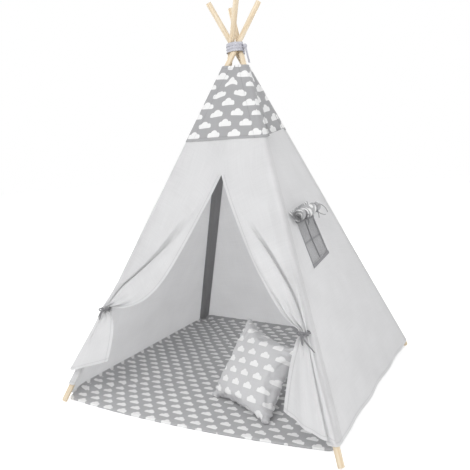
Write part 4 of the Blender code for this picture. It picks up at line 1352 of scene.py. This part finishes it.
def right_wall_patch(x0, x1, z0, z1, out, nx, nz):
    """A grid on the right wall, by metres off its middle and by height, tilted like the window."""
    left = WINDOW_SHIFT - WINDOW_WIDTH / 2
    rows = []
    for level in spread(z0, z1, nz):
        row = []
        for x in spread(x0, x1, nx):
            z = level + WINDOW_TILT * (x - left) * (WINDOW_TOP - level) / (WINDOW_TOP - WINDOW_BOTTOM)
            start, end = side_ends(RIGHT, (z, z), COVER_MIDDLE)
            along = (end - start).normalized()
            row.append((start + end) / 2 + along * x + leaning_normal(RIGHT, z) * out(x, level))
        rows.append(row)
    return np.array(rows)


WINDOW_BACK = -WALL_SAG * 0.8  # the window hangs that far behind the wall's flat place


def build_window_binding(left, right, margin):
    """Four strips of tape round the window, the level ones over the upright ones."""
    width = 0.011
    strips = {
        "left": (left - width + margin, left + margin, WINDOW_BOTTOM, WINDOW_TOP),
        "right": (right - margin, right + width - margin, WINDOW_BOTTOM, WINDOW_TOP),
        "bottom": (left - width, right + width, WINDOW_BOTTOM - width, WINDOW_BOTTOM + margin),
        "top": (left - width, right + width, WINDOW_TOP - margin, WINDOW_TOP + width),
    }
    for side, (x0, x1, z0, z1) in strips.items():
        upright = side in ("left", "right")

        def out(x, z, x0=x0, x1=x1, z0=z0, z1=z1, upright=upright):
            across = (x - x0) / (x1 - x0) if upright else (z - z0) / (z1 - z0)
            lift = 0.0018 if upright else 0.0024
            return WINDOW_BACK + lift + 0.0008 * math.sin(math.pi * across)

        counts = (4, 30) if upright else (34, 4)
        grid = right_wall_patch(x0, x1, z0, z1, out, *counts)
        piece = shell(f"window_binding_{side}", grid, TRIM, 0.0009)
        carry(piece, "cover", "window_binding")


def build_window():
    """The sheer pane with its binding and the two tapes that cross on it."""
    left, right = WINDOW_SHIFT - WINDOW_WIDTH / 2, WINDOW_SHIFT + WINDOW_WIDTH / 2

    def pane_out(x, z):
        u, v = (x - left) / WINDOW_WIDTH, (z - WINDOW_BOTTOM) / (WINDOW_TOP - WINDOW_BOTTOM)
        return WINDOW_BACK - 0.003 * math.sin(math.pi * u) * math.sin(math.pi * v)

    margin = 0.003
    foot, head = WINDOW_BOTTOM + margin, WINDOW_TOP - margin
    grid = right_wall_patch(left + margin, right - margin, foot, head, pane_out, 24, 20)
    pane = shell("window_pane_mesh", grid, SHEER, 0.0005)
    carry(pane, "cover", "window_pane")
    build_window_binding(left, right, margin)
    middle = (WINDOW_BOTTOM + WINDOW_TOP) / 2
    bars = {
        "upright": (WINDOW_SHIFT - 0.0035, WINDOW_SHIFT + 0.0035, WINDOW_BOTTOM, WINDOW_TOP, 2, 30),
        "level": (left, right, middle - 0.0035, middle + 0.0035, 30, 2),
    }
    for side, (x0, x1, z0, z1, nx, nz) in bars.items():
        lift = 0.0013 if side == "level" else 0.0024

        def bar_out(x, z, lift=lift):
            return pane_out(x, z) + lift

        grid = right_wall_patch(x0, x1, z0, z1, bar_out, nx, nz)
        piece = shell(f"window_cross_{side}", grid, TRIM, 0.0007)
        carry(piece, "cover", "window_cross")


BLIND_TURNS = 4.6
BLIND_TILT = 0.085  # its back end hangs higher
BLIND_SHIFT = -0.028  # along the wall, from the middle of the window


def blind_radius(share, along):
    """The roll's radius as it winds from its core out, fuller away from its ties."""
    core, full = 0.005, BLIND_ROLL_RADIUS - 0.0005
    ties = sum(hump(along, side * BLIND_TIE_SPACING / 2, 0.016) for side in (-1, 1))
    middle = 0.12 * hump(along, 0, 0.05) - 0.12 * smooth((abs(along) - 0.08) / 0.04)
    puff = 1 + middle - 0.26 * ties * share + 0.06 * noise.noise(Vector((along * 30, share * 4, 2.0)))
    return mix(core, full, share) * puff


def blind_rows(seam, along, out, down, centre_out, columns):
    """Rows of points along the rolled cloth, from its core out and up to its seam."""
    rows = []
    for share in spread(0, 1, 70):
        angle = math.pi * 1.02 - math.tau * BLIND_TURNS * (1 - share)
        row = []
        for c in columns:
            a = c * BLIND_LENGTH * (1 + 0.03 * math.sin(share * 9 + 2))
            radius = blind_radius(share, a)
            droop = 0.004 * math.sin(c * math.pi)
            x = centre_out + radius * math.cos(angle)
            y = BLIND_DROP - radius * math.sin(angle) + droop
            row.append(seam + along * a + out * max(x, 0.0022) + down * y)
        rows.append(row)
    last = rows[-1]
    sewn = [seam + along * (c * BLIND_LENGTH) + out * 0.0014 + down * 0.001 for c in columns]
    return rows + [[p.lerp(q, share) for p, q in zip(last, sewn)] for share in (0.3, 0.65, 1.0)]


def build_blind():
    """The rolled blind: a length of cloth wound up to its seam."""
    seam, along, out, down = wall_frame()
    along = (along - down * BLIND_TILT).normalized()
    seam = seam + along * BLIND_SHIFT
    centre_out = 0.004 + BLIND_ROLL_RADIUS
    rows = blind_rows(seam, along, out, down, centre_out, spread(-0.5, 0.5, 44))
    points = np.array([[list(p) for p in row] for row in rows])
    blind = shell("window_blind_cloth", points[:, ::-1], BLIND_PRINT, 0.0012)
    carry(blind, "blind", "window_blind")
    ties = []
    for hand, side in zip(HANDS, (-1, 1)):
        ties += build_blind_tie(hand, side, seam, along, out, down, centre_out)


# The bows of the blind's ties: metres along, out and down from the knot
SMALL_LOOPS = (
    (
        (0.001, 0, 0),
        (0.006, 0.007, -0.01),
        (0.012, 0.01, -0.002),
        (0.006, 0.004, 0.006),
        (0.001, 0, 0.001),
    ),
)
SMALL_ENDS = (
    ((0, 0, 0), (-0.003, 0.002, 0.012), (-0.006, -0.002, 0.028)),
    ((0, 0, 0), (0.003, 0.003, 0.01), (0.005, 0, 0.022)),
)
LONG_LOOPS = (
    (
        (0.002, 0, -0.001),
        (0.012, 0.01, -0.016),
        (0.026, 0.018, -0.014),
        (0.036, 0.026, 0.006),
        (0.038, 0.028, 0.026),
    ),
    (
        (-0.001, 0, 0),
        (-0.007, 0.007, -0.009),
        (-0.012, 0.008, 0),
        (-0.006, 0.003, 0.006),
        (-0.001, 0, 0.001),
    ),
)
LONG_ENDS = (
    ((0.001, 0, 0.001), (0.008, 0.007, 0.016), (0.018, 0.014, 0.026), (0.028, 0.02, 0.031)),
    ((0, 0, 0), (-0.002, 0.003, 0.014), (-0.004, 0, 0.03)),
)


def build_blind_tie(hand, side, seam, along, out, down, centre_out):
    """A ribbon round the roll with a bow in front."""
    middle = seam + along * (side * BLIND_TIE_SPACING / 2)
    radius = BLIND_ROLL_RADIUS * 0.79
    path = [middle + out * 0.001 + down * 0.004]
    for k in range(30):
        angle = math.pi * 0.95 - k * (math.tau - 0.5) / 29
        away = max(centre_out + radius * math.cos(angle), 0.0012)
        path.append(middle + out * away + down * (BLIND_DROP - radius * math.sin(angle)))
    path.append(middle + out * 0.008 + down * 0.005)
    pieces = [ribbon(f"blind_tie_{hand}_band", path, along, 0.0062, 0.0009, RIBBON)]
    spot = middle + out * (centre_out + radius * 0.55) + down * (BLIND_DROP + radius * 0.86)
    pieces.append(ball(f"blind_tie_{hand}_knot", spot, (0.0052, 0.0055, 0.0052), RIBBON, 0.08))
    loops, ends = (SMALL_LOOPS, SMALL_ENDS) if side < 0 else (LONG_LOOPS, LONG_ENDS)
    for kind, bows, width, steps, cup in (("loop", loops, 0.006, 7, 0.0), ("end", ends, 0.0058, 6, 0.0006)):
        for k, offsets in enumerate(bows):
            path = smooth_path([spot + along * a + out * b + down * c for a, b, c in offsets], steps)
            name = f"blind_tie_{hand}_{kind}_{k + 1}"
            pieces.append(ribbon(name, path, along, width, LOOSE_RIBBON, RIBBON, cup))
    for piece in pieces:
        carry(piece, "blind", f"blind_tie_{hand}")
    return pieces


# Crown: the wound tape, its knotted end and the cord


def poles_reach(z):
    """The farthest that the poles' surfaces reach from the middle line at height z."""
    outward, across = pole_directions(0)
    reach = 0.0
    for k in range(72):
        turn = k * math.tau / 72
        p = pole_centre(0, z) + outward * (POLE_RADIUS / math.cos(LEAN) * math.cos(turn))
        p += across * (POLE_RADIUS * math.sin(turn))
        reach = max(reach, p.xy.length)
    return reach


TAPE_TURNS = 3
TAPE_WIDTH = 0.0125
TAPE_PITCH = 0.0112
CORD_KNOT_REACH = POLE_OFFSET + POLE_RADIUS + TOUCH_GAP + 0.006
TAIL_TURN = math.radians(-4)


def tape_radius(z):
    return max(CORD_KNOT_REACH, poles_reach(z - TAPE_WIDTH / 2), poles_reach(z + TAPE_WIDTH / 2)) + 0.0014


def build_crown():
    steps = 48
    low = CROSSING_HEIGHT - TAPE_PITCH * TAPE_TURNS / 2 - 0.006
    rows = []
    for k in range(TAPE_TURNS * steps + 1):
        turn = k / steps
        z = low + TAPE_PITCH * turn
        angle = math.tau * turn + TAIL_TURN
        row = []
        for share in (-0.5, -0.3, 0, 0.3, 0.5):
            height = z + TAPE_WIDTH * share
            pull = 1 - 0.035 * abs(math.cos(2 * angle + 0.6))
            pull += 0.012 * noise.noise(Vector((angle * 1.7, share * 2, 9.0)))
            radius = tape_radius(z) * pull + 0.0012 * (turn / TAPE_TURNS) - 0.0018 * (share + 0.5)
            row.append((radius * math.cos(angle), radius * math.sin(angle), height))
        rows.append(row)
    points = np.array(rows).transpose(1, 0, 2)
    tape = shell("crown_tie_tape", points, TAPE, 0.0014)
    out = Vector((math.cos(TAIL_TURN), math.sin(TAIL_TURN), 0))
    along = Vector((-out.y, out.x, 0))
    top = Vector((0, 0, CROSSING_HEIGHT)) + out * (tape_radius(CROSSING_HEIGHT) + 0.0085)
    knot = ball("crown_tie_knot", top, (0.0085, 0.009, 0.0088), TAPE, 0.06)
    hang = ((0, 0, 0), (0.004, 0.001, -0.02), (0.007, 0.005, -0.042), (0.011, 0.008, -0.066))
    ends = smooth_path([top + out * a + along * b + Vector((0, 0, c)) for a, b, c in hang], 7)
    tail = ribbon("crown_tie_end", ends, along, 0.0135, 0.0013, TAPE, 0.0014)
    for piece, node in ((tape, "crown_tie"), (knot, "crown_tie_tail"), (tail, "crown_tie_tail")):
        carry(piece, "cover", node)


# The mat and the cushion


MAT_CORNERS = (  # place and rounding, counterclockwise from the front left
    (-0.567, -0.542, 0.026),
    (0.54, -0.462, 0.03),
    (0.546, 0.557, 0.03),
    (-0.59, 0.537, 0.06),
)


def mat_outline(count=26):
    """The mat from above, counterclockwise, with a front edge that bulges."""
    places = [Vector((x, y, 0)) for x, y, _ in MAT_CORNERS]
    arcs = []
    for n, (_, _, radius) in enumerate(MAT_CORNERS):
        here, before, after = places[n], places[n - 1], places[(n + 1) % 4]
        start = here + (before - here).normalized() * radius
        end = here + (after - here).normalized() * radius
        arcs.append([start.lerp(here, k / 6).lerp(here.lerp(end, k / 6), k / 6) for k in range(7)])
    points = []
    for n, arc in enumerate(arcs):
        points += arc
        start, end = arc[-1], arcs[(n + 1) % 4][0]
        for k in range(1, count):
            p = start.lerp(end, k / count)
            if n == 0:
                share = 2 * k / count - 1
                p.y -= MAT_FRONT_BULGE * (1 - share * share)
            points.append(p)
    return points


def mat_lifts(p):
    """How far the mat's rim is turned up at the left wall, and at the back wall."""
    front, _, right, back = (Vector(corner[:2]) for corner in MAT_CORNERS)
    lifts = []
    for start, end, near, far in ((back, front, 0.016, 0.028), (right, back, 0.012, 0.034)):
        run = (end - start).normalized()
        share = (p.xy - start).dot(run) / (end - start).length
        away = run.x * (p.y - start.y) - run.y * (p.x - start.x)
        height = mix(near, far, min(max(share, 0), 1))
        lifts.append(height * max(1 - away / 0.05, 0) ** 2 * smooth((p.xy - front).length / 0.09))
    return lifts


MAT_RINGS = (  # height and distance in from the outline, from under the rim up over its piping
    (0.0, 0.0045),
    (0.0008, 0.0012),
    (0.004, 0.0002),
    (0.0075, 0.0012),
    (0.0095, 0.0045),
    (0.0084, 0.0085),
    (0.0078, 0.0105),
    (0.0088, 0.014),
    (0.0098, 0.022),
)


MAT_TOP = 0.0092  # the padded top, where it neither rises nor falls


def mat_height(p):
    """How the padded top rises and falls, within the mat's thickness."""
    soft = noise.noise(Vector((p.x * 6, p.y * 6, 40.0)))
    soft += 0.5 * noise.noise(Vector((p.x * 17, p.y * 17, 41.0)))
    from_crease = p - Vector((0.33, -0.4, 0))
    away = from_crease.dot(Vector((0.28, 0.96, 0)))
    along = from_crease.dot(Vector((0.96, -0.28, 0)))
    pinch = hump(away, 0, 0.012) * smooth((0.22 - abs(along)) / 0.1)
    return 0.0011 * soft - 0.0028 * pinch


def mat_rings(outline, middle):
    """Rings of points from under the mat's rim, over its piping and in to its middle."""
    rings = []
    for z, inset in MAT_RINGS:
        rings.append([p - (p - middle).normalized() * inset + Vector((0, 0, z)) for p in outline])
    for share in [1 - (k / 34) ** 0.95 for k in range(1, 34)]:
        ring = []
        for p in outline:
            q = middle + (p - middle) * (share * 0.962)
            ring.append(q + Vector((0, 0, MAT_TOP + mat_height(q) * smooth((1 - share) / 0.08))))
        rings.append(ring)
    return rings


def build_mat():
    """The quilted mat, its rim turned up where it meets the left and back walls."""
    outline = mat_outline()
    middle = Vector((-0.015, 0.02, 0))
    rings = mat_rings(outline, middle)
    bm = bmesh.new()
    made = [[bm.verts.new(p) for p in ring] for ring in rings]
    count = len(outline)
    for a, b in zip(made, made[1:]):
        for k in range(count):
            n = (k + 1) % count
            bm.faces.new((a[k], a[n], b[n], b[k]))
    peak = bm.verts.new(middle + Vector((0, 0, MAT_TOP + mat_height(middle))))
    floor_point = bm.verts.new(middle)
    for k in range(count):
        n = (k + 1) % count
        bm.faces.new((made[-1][k], made[-1][n], peak))
        bm.faces.new((made[0][n], made[0][k], floor_point))
    for v in bm.verts:
        v.co.z += max(mat_lifts(v.co))
    mesh = mesh_of(bm, "floor_mat_quilt")
    uv = mesh.uv_layers.new(name="Cloth")
    for loop in mesh.loops:
        p = mesh.vertices[loop.vertex_index].co
        left, back = mat_lifts(p)
        uv.data[loop.index].uv = (p.x - left, p.y + back)
    mat = link("floor_mat_quilt", mesh, MAT_PRINT)
    carry(mat, "floor", "floor_mat")


def cushion_point(u, w, face, size, thick):
    """A point of the flat case. u and w run from -1 to 1, and face is 1 above and -1 below."""
    half = size / 2
    x = half * u * (1 - CUSHION_DRAW_IN * (1 - w * w) * abs(u))
    y = half * w * (1 - CUSHION_DRAW_IN * (1 - u * u) * abs(w))
    crown = max((1 - u * u) * (1 - w * w), 0.0) ** CUSHION_CROWN
    return Vector((x, y, face * thick / 2 * crown))


def cushion_case(size, thick, steps):
    """A closed cushion lying flat, with cells closer together near its seam."""
    marks = [math.sin(math.pi / 2 * (2 * k / steps - 1)) for k in range(steps + 1)]
    bm = bmesh.new()
    for face in (1, -1):
        grid = [[bm.verts.new(cushion_point(u, w, face, size, thick)) for u in marks] for w in marks]
        for a in range(steps):
            for b in range(steps):
                corners = (grid[a][b], grid[a][b + 1], grid[a + 1][b + 1], grid[a + 1][b])
                bm.faces.new(corners if face > 0 else corners[::-1])
    bmesh.ops.remove_doubles(bm, verts=bm.verts, dist=1e-6)
    return link("cushion_case", mesh_of(bm, "cushion_case"), CUSHION_PRINT)


def apply_modifiers(obj):
    graph = bpy.context.evaluated_depsgraph_get()
    mesh = bpy.data.meshes.new_from_object(obj.evaluated_get(graph))
    obj.modifiers.clear()
    obj.data = mesh


CUSHION_PRINT_TURN = math.radians(-5.5)
CUSHION_VOXEL = 0.005
CUSHION_SWELL = 0.014
CUSHION_FRAMES = 20


def inflate(obj):
    """Blows the case up as cloth, so that it gets the tension folds of a stuffed cushion."""
    remesh = obj.modifiers.new("voxels", "REMESH")
    remesh.mode = "VOXEL"
    remesh.voxel_size = CUSHION_VOXEL
    apply_modifiers(obj)
    rest = np.array([v.co for v in obj.data.vertices])
    cloth = obj.modifiers.new("cloth", "CLOTH")
    cloth.settings.use_pressure = True
    cloth.settings.uniform_pressure_force = 4.0
    cloth.settings.quality = 6
    cloth.settings.mass = 0.25
    cloth.settings.tension_stiffness = 18
    cloth.settings.bending_stiffness = 0.3
    cloth.settings.effector_weights.gravity = 0
    cloth.point_cache.frame_start = 1
    cloth.point_cache.frame_end = CUSHION_FRAMES
    for number in range(1, CUSHION_FRAMES + 1):
        bpy.context.scene.frame_set(number)
    apply_modifiers(obj)
    bpy.context.scene.frame_set(1)
    moved = np.array([v.co for v in obj.data.vertices]) - rest
    size = np.linalg.norm(moved, axis=1, keepdims=True)
    moved *= np.minimum(1, CUSHION_SWELL / np.maximum(size, 1e-9))
    obj.data.vertices.foreach_set("co", (rest + moved).astype(np.float32).ravel())
    obj.data.update()


def cushion_pucker(p):
    """Small folds that run in from the cushion's seam, deepest at its corners."""
    half = CUSHION_SIZE / 2
    u, w = p.x / half, p.y / half
    edge = max(abs(u), abs(w))
    along = w if abs(u) > abs(w) else u
    near = smooth((edge - 0.55) / 0.4)
    corner = smooth((min(abs(u), abs(w)) - 0.4) / 0.5)
    fold = math.sin(along * 30 + 1.5 * math.sin(along * 9)) * (0.0028 + 0.003 * corner)
    diagonal = noise.noise(Vector((p.x * 14, p.y * 14, 3.0 if p.z > 0 else 8.0)))
    return near * fold + 0.0035 * diagonal * smooth(abs(p.z) / 0.02)


CUSHION_CORNERS = (  # how far each corner is pulled: (side, up, metres aside, metres up)
    (-1, -1, -0.02, 0.0),
    (1, -1, -0.004, 0.0),
    (1, 1, 0.0, -0.022),
    (-1, 1, 0.0, 0.026),
)


def shape_cushion(mesh):
    """Gives the case its full size, and pulls its corners as they lie."""
    wide = max(v.co.x for v in mesh.vertices) - min(v.co.x for v in mesh.vertices)
    tall = max(v.co.y for v in mesh.vertices) - min(v.co.y for v in mesh.vertices)
    for v in mesh.vertices:
        v.co.x *= CUSHION_SIZE / wide
        v.co.y *= CUSHION_SIZE / tall
        x, y = 2 * v.co.x / CUSHION_SIZE, 2 * v.co.y / CUSHION_SIZE
        for side, up, aside, lift in CUSHION_CORNERS:
            share = (1 + side * x) * (1 + up * y) / 4
            v.co.x += aside * share
            v.co.y += lift * share


def lay_cushion(mesh):
    """Leans the case back on the mat, and flattens it where it rests."""
    stand = Matrix.Rotation(math.pi / 2, 4, "X")
    lean = Matrix.Rotation(-CUSHION_LEAN, 4, "X")
    turn = Matrix.Rotation(CUSHION_TURN, 4, "Z")
    lift = Matrix.Translation((0, CUSHION_SIZE / 2, 0))
    mesh.transform(turn @ lean @ stand @ lift)
    low = min(v.co.z for v in mesh.vertices)
    rest = MAT_THICKNESS + TOUCH_GAP
    for v in mesh.vertices:
        v.co.z = max(v.co.z - low + rest - CUSHION_SINK, rest)
    mesh.transform(Matrix.Translation((CUSHION_X, CUSHION_Y, 0)))


def build_cushion():
    """A stuffed square cushion that leans back, flattened where it rests on the mat."""
    cushion = cushion_case(CUSHION_SIZE * 0.95, CUSHION_THICKNESS * 0.84, 30)
    inflate(cushion)
    mesh = cushion.data
    shape_cushion(mesh)
    turn = Matrix.Rotation(CUSHION_PRINT_TURN, 2)
    flat = [tuple(turn @ v.co.xy) for v in mesh.vertices]
    mesh.update()
    directions = [v.normal.copy() for v in mesh.vertices]
    for v, way in zip(mesh.vertices, directions):
        v.co += way * cushion_pucker(v.co)
    uv = mesh.uv_layers.new(name="Cloth") if not mesh.uv_layers else mesh.uv_layers[0]
    uv.name = "Cloth"
    for loop in mesh.loops:
        uv.data[loop.index].uv = flat[loop.vertex_index]
    lay_cushion(mesh)
    mesh.materials.clear()
    mesh.materials.append(CUSHION_PRINT)
    mesh.shade_smooth()
    cushion.name = "cushion_cover"
    finer = cushion.modifiers.new("finer", "SUBSURF")
    finer.levels = finer.render_levels = 1
    carry(cushion, "cushion", "cushion")
    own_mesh(cushion)


def dress_frame():
    """Materials for the CAD pieces that stay in view."""
    nodes = frame["nodes"]
    for i, (name, _, _) in enumerate(CORNERS):
        for part in ("lower", "upper"):
            set_material(nodes[f"pole_{name}_{part}"], PINES[i])
        set_material(nodes[f"pole_{name}_ferrule"], ZINC)
    set_material(nodes["crown_cord"], TAPE)


def set_material(obj, material):
    obj.data.materials.clear()
    obj.data.materials.append(material)


# Floor, light and camera

CAMERA_PLACE = Vector((1.0506, -1.9364, 0.9646))
CAMERA_YAW = math.radians(29.51)
CAMERA_PITCH = math.radians(-8.88)
CAMERA_ROLL = math.radians(-2.81)
CAMERA_LENS = 39.65


def build_camera():
    cosine = math.cos(CAMERA_PITCH)
    ahead = Vector((-math.sin(CAMERA_YAW) * cosine, math.cos(CAMERA_YAW) * cosine, math.sin(CAMERA_PITCH)))
    level = ahead.cross(Vector((0, 0, 1))).normalized()
    upright = level.cross(ahead)
    right = level * math.cos(CAMERA_ROLL) + upright * math.sin(CAMERA_ROLL)
    up = upright * math.cos(CAMERA_ROLL) - level * math.sin(CAMERA_ROLL)
    camera = bpy.data.objects.new("camera", bpy.data.cameras.new("camera"))
    bpy.context.scene.collection.objects.link(camera)
    turn = Matrix((right, up, -ahead)).transposed().to_4x4()
    camera.matrix_world = Matrix.Translation(CAMERA_PLACE) @ turn
    camera.data.lens = CAMERA_LENS
    bpy.context.scene.camera = camera


def seen_directly(n):
    """1 for rays from the camera, off gloss or through glass, and 0 for the others."""
    path = n.add("ShaderNodeLightPath")
    seen = n.math("MAXIMUM", path.outputs["Is Camera Ray"], path.outputs["Is Glossy Ray"])
    return n.math("MAXIMUM", seen, path.outputs["Is Transmission Ray"])


def floor_material():
    """A pale floor that keeps its shadows and looks white to the camera."""
    material, n, shader = new_material("floor")
    place = n.add("ShaderNodeTexCoord").outputs["Object"]
    soft = n.noise(place, scale=2.0)
    tone = n.remap(soft, 0.3, 0.7, 0.84, 0.86)
    n.put(shader.inputs["Base Color"], n.join(tone, tone, tone))
    shader.inputs["Roughness"].default_value = 0.9
    shader.inputs["Emission Color"].default_value = (1, 1, 1, 1)
    n.put(shader.inputs["Emission Strength"], n.math("MULTIPLY", seen_directly(n), 0.42))
    return material


def build_stage():
    bm = bmesh.new()
    bmesh.ops.create_grid(bm, x_segments=8, y_segments=8, size=14)
    floor = link("floor", mesh_of(bm, "floor"), floor_material())
    floor.location.z = -0.0005

    world = bpy.data.worlds.new("studio")
    bpy.context.scene.world = world
    world.use_nodes = True
    n = Nodes(world.node_tree)
    background = world.node_tree.nodes["Background"]
    n.put(background.inputs["Strength"], n.remap(seen_directly(n), 0.0, 1.0, 0.66, 1.0))
    background.inputs["Color"].default_value = (1, 1, 1, 1)


LAMPS = (  # name, place, size in metres and power in watts
    ("key", (-1.9, -2.9, 2.7), 2.2, 25.0),
    ("door", (0.6, -2.9, 2.6), 1.5, 37.0),
    ("fill", (3.2, -1.0, 2.0), 2.4, 28.0),
    ("back", (0.2, 3.4, 1.9), 2.4, 46.0),
    ("side", (-3.4, 1.4, 1.9), 2.4, 50.0),
)


def build_lights():
    middle = Vector((0, 0, 0.6))
    for name, place, size, power in LAMPS:
        light = bpy.data.lights.new(name, "AREA")
        light.size = size
        light.energy = power
        lamp = bpy.data.objects.new(name, light)
        bpy.context.scene.collection.objects.link(lamp)
        lamp.location = place
        lamp.rotation_euler = (middle - Vector(place)).to_track_quat("-Z", "Y").to_euler()
    bpy.context.scene.view_settings.view_transform = "Standard"


build_camera()
build_stage()
build_lights()
dress_frame()
for side in (BACK, LEFT):
    build_wall(side)
build_right_wall()
for side in range(4):
    build_band(side)
    build_sleeve(side)
for hand in range(2):
    drape, drape_points = build_drape(hand)
    ties = build_tieback(hand)
    build_facing(hand)
    build_skirt(hand)
build_window()
build_blind()
build_crown()
build_mat()
build_cushion()
